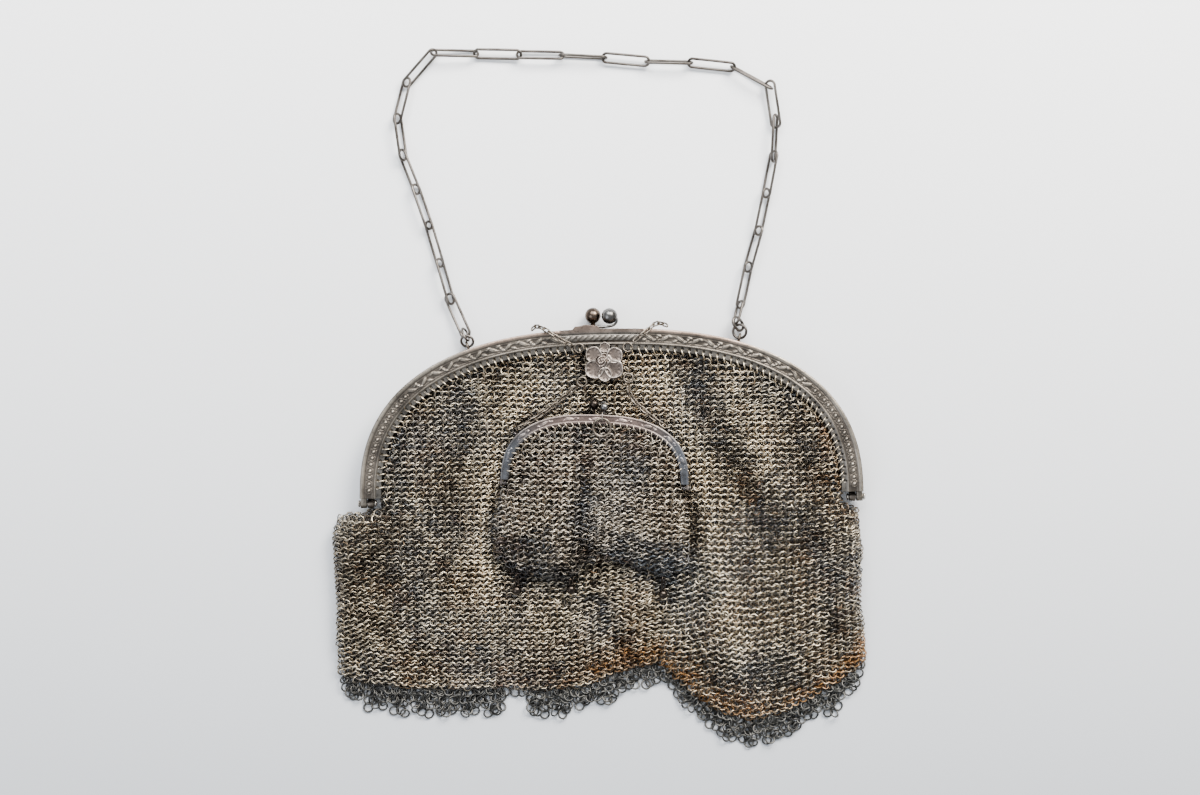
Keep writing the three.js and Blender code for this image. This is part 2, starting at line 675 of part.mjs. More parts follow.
function claspRight(arch) {
  const edge = arch.at(arch.shareAtX(CLASP_RIGHT.x)).y;
  const centre = new THREE.Vector3(CLASP_RIGHT.x, edge + CLASP_RIGHT.rise, arch.base + CLASP_RIGHT.z);
  const ball = new THREE.SphereGeometry(CLASP_BALL / 2, 10, 8).translate(centre.x, centre.y, centre.z);
  const low = edge + GAP + CLASP_ARM.thickness / 2;
  const path = new THREE.CatmullRomCurve3([
    new THREE.Vector3(CLASP_RIGHT.x - CLASP_ARM.start, low, centre.z),
    new THREE.Vector3(CLASP_RIGHT.x - CLASP_ARM.start / 2, low, centre.z),
    new THREE.Vector3(CLASP_RIGHT.x + CLASP_ARM.sweep / 3, low + CLASP_ARM.thickness / 2, centre.z),
    new THREE.Vector3(CLASP_RIGHT.x + CLASP_ARM.sweep * 0.8, centre.y - CLASP_BALL * CLASP_ARM.seat, centre.z),
    new THREE.Vector3(CLASP_RIGHT.x + CLASP_ARM.sweep * 0.62, centre.y, centre.z),
  ]);
  const rings = path.getPoints(CLASP_ARM.steps).map((point, i, all) => {
    const ahead = all[Math.min(i + 1, all.length - 1)];
    const behind = all[Math.max(i - 1, 0)];
    const across = ahead.clone().sub(behind).normalize().cross(new THREE.Vector3(0, 0, 1));
    const [half, tall] = [CLASP_ARM.thickness / 2, CLASP_ARM.width / 2];
    return [[-half, -tall], [half, -tall], [half, tall], [-half, tall]].map(([side, up]) => (
      point.clone().addScaledVector(across, side).setZ(centre.z + up)
    ));
  });
  return toGeometry(toSolid(ball).add(toSolid(loft(rings))));
}

// Bags

// A sheet that hangs straight from the arch's inner edge to below the hinges, and fans out from there
// to the sides and the hem
class BagPatch {
  constructor(arch, sizes) {
    this.arch = arch;
    this.sizes = sizes;
    const { offset, halfWidth, drop } = sizes;
    const place = ({ x, y }) => new THREE.Vector3(offset + x * halfWidth, y * drop, 0);
    const { hingeDrop, knuckleRadius } = arch.frame;
    this.corner = -(hingeDrop + knuckleRadius + GAP);
    this.foot = arch.footShare();
    this.left = sizes.left.map(place);
    this.right = sizes.right.map(place);
    const hemPoints = [this.left.at(-1), ...sizes.hem.map(place), this.right.at(-1)];
    this.hem = new THREE.CatmullRomCurve3(hemPoints, false, 'centripetal');
  }

  // The arch's inner edge, moved outwards by a reach
  mouth(u, reach = 0) {
    const share = this.foot + (1 - 2 * this.foot) * u;
    return this.arch.at(share, this.arch.frame.band * this.arch.fullness(share) + GAP - reach);
  }

  hemPoint(u) {
    return this.hem.getPointAt(u - this.sizes.gather * Math.sin(2 * Math.PI * u));
  }

  // How far along from its mouth to its hem a column has fanned out at a height
  fanned(y, low) {
    return Math.max(0, (this.corner - y) / (this.corner - low.y));
  }

  // How far a side stands out from the straight line between its mouth and its hem
  bulge(table, u, y) {
    const [top, low] = [this.mouth(u), this.hemPoint(u)];
    if (y >= this.corner || y <= low.y) return 0;
    const next = table.findIndex((point) => point.y < y);
    const [before, after] = [next > 0 ? table[next - 1] : top, table[next]];
    const share = (before.y - y) / (before.y - after.y);
    const side = before.x + (after.x - before.x) * share;
    return side - THREE.MathUtils.lerp(top.x, low.x, this.fanned(y, low));
  }

  at(u, v) {
    const [top, low] = [this.mouth(u), this.hemPoint(u)];
    const y = THREE.MathUtils.lerp(this.corner, v < 0 ? top.y : low.y, Math.abs(v));
    const x = THREE.MathUtils.lerp(top.x, low.x, this.fanned(y, low));
    const left = this.bulge(this.left, 0, y) * (1 - u) ** SIDE_FAN;
    const right = this.bulge(this.right, 1, y) * u ** SIDE_FAN;
    return new THREE.Vector3(x + left + right, y, 0);
  }

  // How thick the bag is at a point, without its folds
  thickness(u, v) {
    const { thickness, hemThickness, edgeThickness, edgeRound, halfWidth, drop } = this.sizes;
    const body = THREE.MathUtils.lerp(thickness, hemThickness, THREE.MathUtils.smoothstep(v, 0.2, 1));
    const fromSide = Math.min(u, 1 - u) * 2 * halfWidth + Math.max(0, -v) * edgeRound;
    const fromHem = (1 - v) * drop;
    const nearest = Math.min(1, fromSide / edgeRound, fromHem / edgeRound);
    const round = Math.sqrt(1 - (1 - nearest) ** 2);
    return THREE.MathUtils.lerp(edgeThickness, body, round);
  }

  fold(u, v) {
    const { folds, foldHeight, halfWidth, offset } = this.sizes;
    const down = (v + 1) / 2;
    const share = (this.at(u, v).x - offset * down) / halfWidth;
    const fade = THREE.MathUtils.smoothstep(v, -1, -0.5) * (1 - THREE.MathUtils.smoothstep(v, 0.75, 1));
    return folds.reduce((sum, { mouth, hem, width, height }) => {
      const away = Math.min(1, Math.abs(share - THREE.MathUtils.lerp(mouth, hem, down)) / width);
      return sum + height * Math.cos(away * Math.PI / 2) ** 2;
    }, 0) * foldHeight * fade;
  }

  top(u, v) {
    return this.thickness(u, v) + this.fold(u, v);
  }
}

// A solid under a surface over the patch, down to a flat floor
function underSurface(columns, rowShares, place, floor) {
  const rows = rowShares.length - 1;
  const points = rowShares.flatMap((v) => (
    Array.from({ length: columns + 1 }, (_, column) => place(column / columns, v))
  ));
  const at = (column, row) => row * (columns + 1) + column;
  const indices = [];
  for (let row = 0; row < rows; row += 1) {
    for (let column = 0; column < columns; column += 1) {
      const [a, b] = [at(column, row), at(column + 1, row)];
      const [c, d] = [at(column + 1, row + 1), at(column, row + 1)];
      indices.push(a, d, b, b, d, c);
    }
  }
  const border = [];
  for (let column = 0; column < columns; column += 1) border.push(at(column, 0));
  for (let row = 0; row < rows; row += 1) border.push(at(columns, row));
  for (let column = columns; column > 0; column -= 1) border.push(at(column, rows));
  for (let row = rows; row > 0; row -= 1) border.push(at(0, row));
  const first = points.length;
  border.forEach((index) => points.push(points[index].clone().setZ(floor)));
  border.forEach((index, k) => {
    const next = (k + 1) % border.length;
    indices.push(index, border[next], first + next, index, first + next, first + k);
  });
  const flat = border.map((_, k) => new THREE.Vector2(points[first + k].x, points[first + k].y));
  for (const [a, b, c] of THREE.ShapeUtils.triangulateShape(flat, [])) {
    indices.push(first + c, first + b, first + a);
  }
  const geometry = new THREE.BufferGeometry().setFromPoints(points);
  geometry.setIndex(indices);
  return toSolid(facingOut(geometry));
}

// A bag's outer skin from a floor up, less the hollow under it, which runs out through the mouth
function bagShell(patch, rows, floor, hollowFloor, wall) {
  const columns = patch.arch.frame.steps;
  const outer = underSurface(columns, rows, (u, v) => patch.at(u, v).setZ(patch.top(u, v)), floor);
  const { halfWidth, drop } = patch.sizes;
  const [side, hem] = [0.75 * wall / halfWidth, wall / drop];
  const inside = (u, v) => {
    const [across, down] = [side + (1 - 2 * side) * u, Math.min(v, 1 - hem)];
    const point = v === -1 ? patch.mouth(across, 3 * wall) : patch.at(across, down);
    return point.setZ(patch.thickness(across, down) - wall);
  };
  return outer.subtract(underSurface(columns / 2, HOLLOW_ROWS, inside, hollowFloor));
}

// The back of a bag, a flat sheet on the same outline
function bagBack(patch, rows, wall) {
  const columns = patch.arch.frame.steps;
  const across = Array.from({ length: columns + 1 }, (_, column) => column / columns);
  const outline = [
    ...across.map((u) => patch.at(u, -1)),
    ...rows.slice(1, -1).map((v) => patch.at(1, v)),
    ...across.toReversed().map((u) => patch.at(u, 1)),
    ...rows.slice(1, -1).toReversed().map((v) => patch.at(0, v)),
  ];
  const shape = new THREE.Shape(outline.map(({ x, y }) => new THREE.Vector2(x, y)));
  return cleaned(new THREE.ExtrudeGeometry(shape, { depth: wall, bevelEnabled: false, steps: 1 }));
}

// A line through points, moved to its outer side by a distance
function movedOut(points, distance) {
  return points.map((point, k) => {
    const before = points[Math.max(0, k - 1)];
    const after = points[Math.min(points.length - 1, k + 1)];
    const out = (from, to) => new THREE.Vector2(to.y - from.y, from.x - to.x).normalize();
    const first = k > 0 ? out(before, point) : out(point, after);
    const second = k < points.length - 1 ? out(point, after) : first;
    const mitre = first.clone().add(second).normalize();
    return new THREE.Vector2(point.x, point.y).addScaledVector(mitre, distance / mitre.dot(first));
  });
}

// Fringe: a backing along the hem with a lock of loose rings at each step
function fringeGeometry(patch) {
  const columns = patch.arch.frame.steps;
  const hem = Array.from({ length: columns + 1 }, (_, column) => patch.hemPoint(column / columns));
  const outline = movedOut(hem, GAP);
  const away = (share, distance) => {
    const tangent = patch.hem.getTangentAt(share);
    const point = patch.hem.getPointAt(share);
    return new THREE.Vector2(point.x + tangent.y * distance, point.y - tangent.x * distance);
  };
  const straight = (share, distance) => {
    const point = patch.hem.getPointAt(share);
    const edge = away(share, FRINGE_BACKING + GAP);
    return new THREE.Vector2(edge.x, Math.min(edge.y, point.y) - distance);
  };
  const count = LOCKS.length;
  for (let i = count - 1; i >= 0; i -= 1) {
    const reach = LOCKS[i].length * FRINGE_LENGTH - FRINGE_BACKING;
    const middle = (i + 0.5) / count;
    const [root, tip] = [LOCK_ROOT / 2 / count, LOCK_TIP / 2 / count];
    outline.push(away(middle + root, FRINGE_BACKING + GAP));
    outline.push(straight(middle + tip, reach));
    outline.push(straight(middle - tip, reach));
    outline.push(away(middle - root, FRINGE_BACKING + GAP));
  }
  const shape = new THREE.Shape(outline);
  const options = { depth: FRINGE_THICKNESS, bevelEnabled: false, steps: 1 };
  return cleaned(new THREE.ExtrudeGeometry(shape, options));
}

// Small chains

// The outer form of a fine chain, a round bar along its route
function smallChainGeometry(route) {
  const { width, sides, steps } = SMALL_CHAIN;
  const points = route.map(([x, y, z]) => new THREE.Vector3(x, y, z));
  const round = Array.from({ length: sides }, (_, i) => new THREE.Vector2(
    width / 2 * Math.cos(2 * Math.PI * i / sides),
    width / 2 * Math.sin(2 * Math.PI * i / sides),
  ));
  const path = new THREE.CatmullRomCurve3(points, false, 'centripetal');
  return facingOut(cleaned(new THREE.ExtrudeGeometry(new THREE.Shape(round), { extrudePath: path, steps })));
}

// Plaque

function plaqueGeometry(base) {
  const { x, y, thickness, boss, slope, sides } = PLAQUE;
  const discs = PETALS.map((petal) => {
    const height = thickness + petal.level;
    const geometry = new THREE.CylinderGeometry(petal.radius * slope, petal.radius, height, sides);
    geometry.rotateX(Math.PI / 2).translate(x + petal.x, y + petal.y, base + height / 2);
    return toSolid(geometry);
  });
  const knob = new THREE.SphereGeometry(PLAQUE_BOSS.radius, 8, 6);
  knob.scale(1, 1, 0.6).translate(x + PLAQUE_BOSS.x, y + PLAQUE_BOSS.y, base + boss);
  return toGeometry(joined([...discs, toSolid(knob)]));
}

function plaqueRingCentre(ring, height) {
  return new THREE.Vector3(PLAQUE.x + ring.x, PLAQUE.y + ring.y, height);
}

// The height of a bag's hem at an x
function hemHeight(patch, x) {
  const columns = patch.arch.frame.steps;
  const hem = Array.from({ length: columns + 1 }, (_, column) => patch.hemPoint(column / columns));
  const after = hem.findIndex((point) => point.x > x);
  const [left, right] = [hem[after - 1], hem[after]];
  return THREE.MathUtils.mapLinear(x, left.x, right.x, left.y, right.y);
}

// Assembly

const purse = new THREE.Group();
const arch = new Arch(FRAME, 0);

addPiece(purse, 'frame_front', toGeometry(mainFrontSolid(arch)), MATERIALS.cast);
const ears = [earSolid(arch, EAR_LEFT_X, EAR_HEIGHT), earSolid(arch, EAR_RIGHT_X, EAR_HEIGHT)];
addPiece(purse, 'frame_back', toGeometry(backSolid(arch, ears)), MATERIALS.cast);
addPiece(purse, 'hinge_pin_left', hingePin(arch, -1), MATERIALS.polished);
addPiece(purse, 'hinge_pin_right', hingePin(arch, 1), MATERIALS.polished);
addPiece(purse, 'clasp_ball_left', claspLeft(arch), MATERIALS.polished);
addPiece(purse, 'clasp_ball_right', claspRight(arch), MATERIALS.polished);

// Handle chain
const crossings = HANDLE_ROUTE.map(({ x, y, z }) => new THREE.Vector3(x, y, z));
const joints = [
  ringEnd(earCentre(arch, EAR_LEFT_X, EAR_HEIGHT), crossings[0], LEFT_RING),
  ...crossings,
  ringEnd(earCentre(arch, EAR_RIGHT_X, EAR_HEIGHT), crossings.at(-1), RIGHT_RING),
];
const runs = [{ link: LEFT_RING, roll: LEFT_RING_ROLL }, ...HANDLE_ROUTE];
let handleCount = 0;
runs.forEach(({ link, roll }, i) => {
  const longLink = link === LINK || link === SHORT_LINK;
  if (longLink) handleCount += 1;
  const names = new Map([
    [LEFT_RING, 'chain_ring_left'], [LEFT_JUMP, 'jump_ring_left'],
    [RIGHT_JUMP, 'jump_ring_right'], [RIGHT_RING, 'chain_ring_right'],
  ]);
  const name = longLink ? `handle_link_${String(handleCount).padStart(2, '0')}` : names.get(link);
  addPiece(purse, name, linkBetween(link, joints[i], joints[i + 1], roll), MATERIALS.wire);
});

// Bag
const bagSizes = {
  halfWidth: FRAME.halfWidth + BAG_SPREAD,
  offset: BAG_OFFSET,
  drop: BAG_DROP,
  thickness: BAG_THICKNESS,
  hemThickness: BAG_HEM_THICKNESS,
  edgeThickness: BAG_EDGE_THICKNESS,
  edgeRound: BAG_EDGE_ROUND,
  gather: HEM_GATHER,
  left: LEFT_SIDE,
  right: RIGHT_SIDE,
  hem: HEM,
  folds: FOLDS,
  foldHeight: FOLD_HEIGHT,
};
const bag = new BagPatch(arch, bagSizes);
const bagFrontSolid = bagShell(bag, SHEET_ROWS, MESH_WALL + GAP, 0, MESH_WALL);
addPiece(purse, 'mesh_bag_front', toGeometry(bagFrontSolid), MATERIALS.mesh);
addPiece(purse, 'mesh_bag_back', bagBack(bag, SHEET_ROWS, MESH_WALL), MATERIALS.mesh);
addPiece(purse, 'ring_fringe', fringeGeometry(bag), MATERIALS.fringe);

// Plaque and its rings
const plaqueBase = FRAME.depth - FRAME.relief / 3 + GAP;
addPiece(purse, 'flower_plaque', plaqueGeometry(plaqueBase), MATERIALS.cast);
const ringHeight = plaqueBase + PLAQUE.thickness;
PLAQUE_RINGS.forEach((ring, i) => {
  const centre = plaqueRingCentre(ring, ringHeight);
  const geometry = layLink(linkGeometry(PLAQUE_RING), centre, new THREE.Vector3(1, 0, 0), 0);
  addPiece(purse, `plaque_ring_${i + 1}`, geometry, MATERIALS.wire);
});

// Coin purse
const coinPurse = new THREE.Group();
const coinBase = BAG_THICKNESS + COIN_PLACE.lift;
coinPurse.position.set(COIN_PLACE.x, COIN_PLACE.y, coinBase);
coinPurse.rotation.z = radians(COIN_PLACE.turn);
coinPurse.updateMatrix();
purse.add(coinPurse);
const coinArch = new Arch(COIN, 0);
const coinFoot = coinArch.footShare();
const coinLeaves = Array.from({ length: COIN_LEAVES.count }, (_, i) => {
  const share = COIN_LEAVES.margin + (1 - 2 * COIN_LEAVES.margin) * i / (COIN_LEAVES.count - 1);
  return reliefStud(coinArch, share, COIN_LEAVES.inset * coinArch.fullness(share), COIN_LEAVES);
});
const coinBand = archBand(coinArch, frontProfile(COIN), 1, coinFoot, 1 - coinFoot, COIN.steps);
const pullPlace = coinArch.at(coinArch.shareAtX(PULL_EAR.x), PULL_EAR.inset, COIN.depth + PULL_EAR.lift);
const pullEar = linkGeometry(PULL_EAR).rotateX(Math.PI / 2).rotateZ(Math.PI / 2);
pullEar.translate(pullPlace.x, pullPlace.y, pullPlace.z);
const coinFrontSolid = withKnuckles(joined([coinBand, ...coinLeaves, toSolid(pullEar)]), coinArch, 1);
addPiece(coinPurse, 'coin_frame_front', toGeometry(coinFrontSolid), MATERIALS.cast);
const coinEarHeight = COIN.depth / 4;
const coinEars = [COIN_EARS.left, COIN_EARS.right].map((x) => earSolid(coinArch, x, coinEarHeight));
addPiece(coinPurse, 'coin_frame_back', toGeometry(backSolid(coinArch, coinEars)), MATERIALS.cast);
addPiece(coinPurse, 'coin_hinge_pin_left', hingePin(coinArch, -1), MATERIALS.polished);
addPiece(coinPurse, 'coin_hinge_pin_right', hingePin(coinArch, 1), MATERIALS.polished);
COIN_BALLS.forEach(({ name, x, radius, rise, side }) => {
  const edge = coinArch.at(coinArch.shareAtX(x)).y;
  const geometry = turnedBall(radius, COIN_NECK, null, edge + GAP, edge + rise + GAP, 8);
  geometry.translate(x, 0, coinArch.parting + side * COIN.depth / 4);
  addPiece(coinPurse, name, geometry, MATERIALS.polished);
});

const coinBagSizes = {
  halfWidth: COIN.halfWidth + COIN_BAG.spread,
  offset: 0,
  drop: COIN_BAG.drop,
  thickness: COIN_BAG.thickness,
  hemThickness: COIN_BAG.thickness,
  edgeThickness: COIN_BAG.edge,
  edgeRound: BAG_EDGE_ROUND / 2,
  gather: HEM_GATHER,
  left: COIN_LEFT_SIDE,
  right: COIN_RIGHT_SIDE,
  hem: COIN_HEM,
  folds: COIN_FOLDS,
  foldHeight: COIN_FOLD_HEIGHT,
};
const coinBagPatch = new BagPatch(coinArch, coinBagSizes);
const coinBagSolid = bagShell(coinBagPatch, COIN_ROWS, 0, COIN_BAG.wall, COIN_BAG.wall);
addPiece(coinPurse, 'coin_bag', toGeometry(coinBagSolid), MATERIALS.darkMesh);

// Pull ring in the long ear on the coin frame's face
const pullRing = linkGeometry(PULL_RING);
pullRing.translate(
  PULL_EAR.x,
  pullPlace.y - (PULL_RING.length - PULL_RING.wire) / 2 - PULL_EAR.wire,
  COIN.depth + (PULL_EAR.lift + PULL_EAR.width / 2 - PULL_EAR.wire) / 2,
);
addPiece(coinPurse, 'coin_pull_ring', pullRing, MATERIALS.wire);

// Drops under the coin purse
DROPS.forEach(({ x, loop: length }, i) => {
  const across = x * coinBagSizes.halfWidth;
  const loopTop = hemHeight(coinBagPatch, across) - 1.5 * GAP;
  const radius = DROP_BALL / 2;
  const centreY = loopTop - length + DROP_LOOP.wire - radius;
  const ball = new THREE.SphereGeometry(radius, 8, 6).translate(across, centreY, radius - GAP);
  const loop = linkGeometry({ ...DROP_LOOP, length }).rotateX(radians(45)).rotateZ(Math.PI / 2);
  loop.translate(across, loopTop - length / 2, radius - GAP);
  addPiece(coinPurse, `coin_drop_${i + 1}`, toGeometry(toSolid(ball).add(toSolid(loop))), MATERIALS.polished);
});

// Small chains
SMALL_CHAINS.forEach(({ name, route }) => {
  addPiece(purse, name, smallChainGeometry(route), MATERIALS.wire);
});

// The purse stands on the origin: the middle of its box, at the surface that it lies on
purse.updateMatrixWorld(true);
const box = new THREE.Box3().setFromObject(purse);
purse.position.set(-(box.min.x + box.max.x) / 2, -(box.min.y + box.max.y) / 2, -box.min.z);

export default purse;
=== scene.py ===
import math

import bpy
import numpy as np
from mathutils import Matrix, Vector
from mathutils.bvhtree import BVHTree


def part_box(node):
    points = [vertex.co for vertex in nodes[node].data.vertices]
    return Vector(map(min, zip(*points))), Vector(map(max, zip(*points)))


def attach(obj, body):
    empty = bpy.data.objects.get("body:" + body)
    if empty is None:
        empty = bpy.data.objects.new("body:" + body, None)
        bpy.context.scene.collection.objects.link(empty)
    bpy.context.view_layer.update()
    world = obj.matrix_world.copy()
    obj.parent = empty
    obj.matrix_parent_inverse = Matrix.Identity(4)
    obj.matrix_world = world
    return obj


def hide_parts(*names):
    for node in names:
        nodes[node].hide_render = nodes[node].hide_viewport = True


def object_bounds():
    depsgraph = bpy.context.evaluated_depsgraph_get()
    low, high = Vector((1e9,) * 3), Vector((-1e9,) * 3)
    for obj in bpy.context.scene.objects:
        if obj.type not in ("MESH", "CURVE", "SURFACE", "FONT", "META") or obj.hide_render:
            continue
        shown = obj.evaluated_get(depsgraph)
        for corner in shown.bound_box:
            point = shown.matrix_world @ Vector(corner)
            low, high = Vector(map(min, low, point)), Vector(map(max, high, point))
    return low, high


# A ring mesh purse lying on its back. The pieces below are worked out in millimetres, with X along the
# line through the hinges, Y towards the handle and the origin in the middle between the frame's feet.

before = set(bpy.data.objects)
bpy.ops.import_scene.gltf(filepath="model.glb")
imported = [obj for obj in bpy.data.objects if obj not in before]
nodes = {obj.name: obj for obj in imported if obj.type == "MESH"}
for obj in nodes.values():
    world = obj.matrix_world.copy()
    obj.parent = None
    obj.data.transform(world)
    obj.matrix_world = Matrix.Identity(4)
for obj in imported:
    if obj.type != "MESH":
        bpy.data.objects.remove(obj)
cad_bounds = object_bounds()
bpy.ops.object.select_all(action="DESELECT")

# Sizes, in millimetres
GAP = 0.3
MAIN = {
    "half_width": 87.6, "rise": 58.7, "squareness": 2.44, "band": 7.5, "wall": 1.3, "plate": 0.9,
    "base": 0.0, "depth": 10.0, "foot_taper": 1.0, "knuckle": 1.6, "knuckle_length": 2.2,
    "knuckle_reach": 0.2, "hinge_drop": 1.1, "ear": 1.45, "ear_wire": 0.9, "ear_off": 1.4,
}
COIN = {
    "half_width": 32.5, "rise": 24.0, "squareness": 2.6, "band": 3.2, "wall": 0.8, "plate": 0.7,
    "base": 10.2, "depth": 4.8, "foot_taper": 0.78, "knuckle": 0.95, "knuckle_length": 0.9,
    "knuckle_reach": 0.2, "hinge_drop": 0.5, "ear": 0.9, "ear_wire": 0.5, "ear_off": 0.6,
}
COIN_PLACE = (-5.9, 4.9)
COIN_TURN = math.radians(-2.5)
RING_PITCH = 2.6
ROW_STEP = 1.02
RING_RADIUS = 1.4
RING_WIRE = 0.54
RING_SIZE = 2 * RING_RADIUS + RING_WIRE
RING_LEAN = math.radians(42)
RING_TWIST = math.radians(5)

pins = [*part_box("hinge_pin_left"), *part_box("hinge_pin_right")]
ORIGIN = np.array([
    sum(corner.x for corner in pins) * 250,
    sum(corner.y for corner in pins) * 250 + MAIN["hinge_drop"],
    0.0,
])


def metres(points):
    return (np.asarray(points, float) + ORIGIN) / 1000


def millimetres(points):
    return np.asarray(points, float) * 1000 - ORIGIN


def from_coin(points):
    """Points in the coin purse's own axes, in the axes of the main purse."""
    points = np.asarray(points, float)
    cosine, sine = math.cos(COIN_TURN), math.sin(COIN_TURN)
    x = points[..., 0] * cosine - points[..., 1] * sine + COIN_PLACE[0]
    y = points[..., 0] * sine + points[..., 1] * cosine + COIN_PLACE[1]
    return np.stack([x, y, points[..., 2]], -1)


# Materials

def linear(colour):
    channels = [int(colour[i:i + 2], 16) / 255 for i in (1, 3, 5)]
    return tuple(c / 12.92 if c <= 0.04045 else ((c + 0.055) / 1.055) ** 2.4 for c in channels) + (1.0,)


def per_mm(size):
    """The scale of a texture on Object coordinates whose pattern repeats at a size in millimetres."""
    return 1000 / size


def add_node(tree, kind, inputs=None, **settings):
    node = tree.nodes.new(kind)
    for name, value in settings.items():
        setattr(node, name, value)
    for name, value in (inputs or {}).items():
        if isinstance(value, bpy.types.NodeSocket):
            tree.links.new(value, node.inputs[name])
        else:
            node.inputs[name].default_value = value
    return node


def blank_material(name):
    material = bpy.data.materials.new(name)
    material.use_nodes = True
    material.node_tree.nodes.clear()
    return material, material.node_tree


def mixed(tree, share, first, second, blend="MIX"):
    node = add_node(
        tree, "ShaderNodeMix", {0: share, 6: first, 7: second}, data_type="RGBA", blend_type=blend)
    return node.outputs[2]


def ranged(tree, value, low, high, to_low, to_high):
    node = add_node(tree, "ShaderNodeMapRange", {
        "Value": value, "From Min": low, "From Max": high, "To Min": to_low, "To Max": to_high,
    })
    return node.outputs["Result"]


def noise(tree, size, detail=3.0, roughness=0.55):
    """Clouds of a size in millimetres, from 0 to 1."""
    place = add_node(tree, "ShaderNodeTexCoord").outputs["Object"]
    node = add_node(tree, "ShaderNodeTexNoise", {
        "Vector": place, "Scale": per_mm(size), "Detail": detail, "Roughness": roughness,
    })
    return node.outputs["Fac"]


def attribute(tree, name):
    return add_node(tree, "ShaderNodeAttribute", attribute_name=name).outputs["Fac"]


def finish_metal(tree, colour, roughness, bump_size, bump_depth):
    """Ends a metal's nodes: its grain of a size and a depth in millimetres, its shader and output."""
    grain = noise(tree, bump_size, 2.0)
    bump = add_node(tree, "ShaderNodeBump", {"Height": grain, "Distance": bump_depth / 1000, "Strength": 0.6})
    shader = add_node(tree, "ShaderNodeBsdfPrincipled", {
        "Base Color": colour, "Roughness": roughness, "Metallic": 1.0, "Normal": bump.outputs["Normal"],
    })
    add_node(tree, "ShaderNodeOutputMaterial", {"Surface": shader.outputs["BSDF"]})


def cast_nickel_silver(name, bright, mid, dark, copper="#8f7466", cool="#646d72"):
    """Cast and tarnished: raised parts are rubbed bright, hollows are dark, and it blushes in places."""
    material, tree = blank_material(name)
    raised = attribute(tree, "raised")
    cloudy = noise(tree, 9, 4)
    colour = mixed(tree, ranged(tree, raised, 0.0, 0.45, 0, 1), linear(dark), linear(mid))
    rubbed = ranged(tree, raised, 0.55, 1.0, 0, 0.85)
    colour = mixed(tree, rubbed, colour, linear(bright))
    colour = mixed(tree, attribute(tree, "copper"), colour, linear(copper))
    colour = mixed(tree, attribute(tree, "cool"), colour, linear(cool))
    colour = mixed(tree, ranged(tree, cloudy, 0.42, 0.68, 0, 0.55), colour, linear(dark))
    speckle = noise(tree, 1.1, 2)
    colour = mixed(tree, ranged(tree, speckle, 0.56, 0.72, 0, 0.5), colour, linear(dark))
    rough = ranged(tree, noise(tree, 4, 3), 0.3, 0.7, 0.3, 0.5)
    finish_metal(tree, colour, rough, 0.5, 0.06)
    return material


def worn_metal(name, bright, dark, patch, rough_low, rough_high, grain=0.6, depth=0.03, share=0.75):
    """Polished long ago, with patches of tarnish of a size in millimetres."""
    material, tree = blank_material(name)
    cloudy = noise(tree, patch, 4)
    colour = mixed(tree, ranged(tree, cloudy, 0.38, 0.66, 0, share), linear(bright), linear(dark))
    rough = ranged(tree, noise(tree, patch / 3, 3), 0.3, 0.7, rough_low, rough_high)
    finish_metal(tree, colour, rough, grain, depth)
    return material


def ring_wire(name, bright, dark, rust, rough):
    """Drawn nickel silver wire, closed into rings: each ring has its own tone, which also carries painted
    light and shade, and stains go over many.
    """
    material, tree = blank_material(name)
    tone = attribute(tree, "tone")
    colour = mixed(tree, tone, linear(dark), linear(bright))
    colour = mixed(tree, attribute(tree, "stain"), colour, linear(rust))
    colour = mixed(tree, attribute(tree, "cool"), colour, linear("#6c7884"))
    patch = ranged(tree, noise(tree, 2.2, 3), 0.35, 0.7, 0, 0.45)
    colour = mixed(tree, patch, colour, linear(dark))
    finish_metal(tree, colour, rough, 0.5, 0.02)
    return material


# Grey cast metal that darkens in its hollows, so that the ornament reads
frame_metal = cast_nickel_silver("cast_nickel_silver", "#948c80", "#59534c", "#211e1c", cool="#63605b")
# Paler and warmer, so that the flower stands out from the mesh
plaque_metal = cast_nickel_silver("cast_plaque_metal", "#c3b9ae", "#6d645d", "#2a2521", copper="#8d7a72")
# Coppery in the middle and cool at the ends, like worn plating
coin_metal = cast_nickel_silver("cast_coin_frame_metal", "#a1978e", "#6b625e", "#2b2725",
                                  copper="#7d6a63", cool="#555b62")
# Pale wire that is dark where it dips, from tarnish and painted shade in the weave, which gives the mesh its
# grain
mesh_wire = ring_wire("drawn_nickel_silver_rings", "#fbeacb", "#35302b", "#8a5d2a", 0.34)
# The same wire a little duller, so that the coin purse parts from the bag
coin_wire = ring_wire("drawn_coin_purse_rings", "#efe0c8", "#2b2725", "#80552f", 0.36)
# Dark grey rings that close the bag off at its hem
fringe_wire = worn_metal("oxidised_steel_rings", "#575653", "#201f1e", 3, 0.36, 0.52)
# Plain drawn wire with soft lights along the links
chain_wire = worn_metal("drawn_chain_wire", "#625d58", "#2b2724", 7, 0.28, 0.44)
# Lighter fine wire that can be told from the mesh behind it
small_wire = worn_metal("fine_chain_wire", "#7f766b", "#2b2622", 2.5, 0.3, 0.45)
# Dark bronze gloss of the left clasp ball
dark_polish = worn_metal("polished_dark_bronze_ball", "#5c5046", "#2a231e", 3, 0.2, 0.32)
# Grey gloss of the right clasp ball
pale_polish = worn_metal("polished_grey_ball", "#6b6a68", "#312e2b", 3.4, 0.2, 0.32)
# Nearly black gloss, so that the small drops read as dots
drop_metal = worn_metal("blackened_drop_ball", "#3f3832", "#1a1614", 2, 0.18, 0.3)
# Bright turned ends of the hinge pins
pin_metal = worn_metal("turned_pin_metal", "#c7c1b7", "#5a554f", 2.5, 0.2, 0.35)


# Meshes

def free_of_selection():
    if bpy.context.mode != "OBJECT":
        bpy.ops.object.mode_set(mode="OBJECT")
    bpy.ops.object.select_all(action="DESELECT")


def new_object():
    return bpy.context.view_layer.objects.active


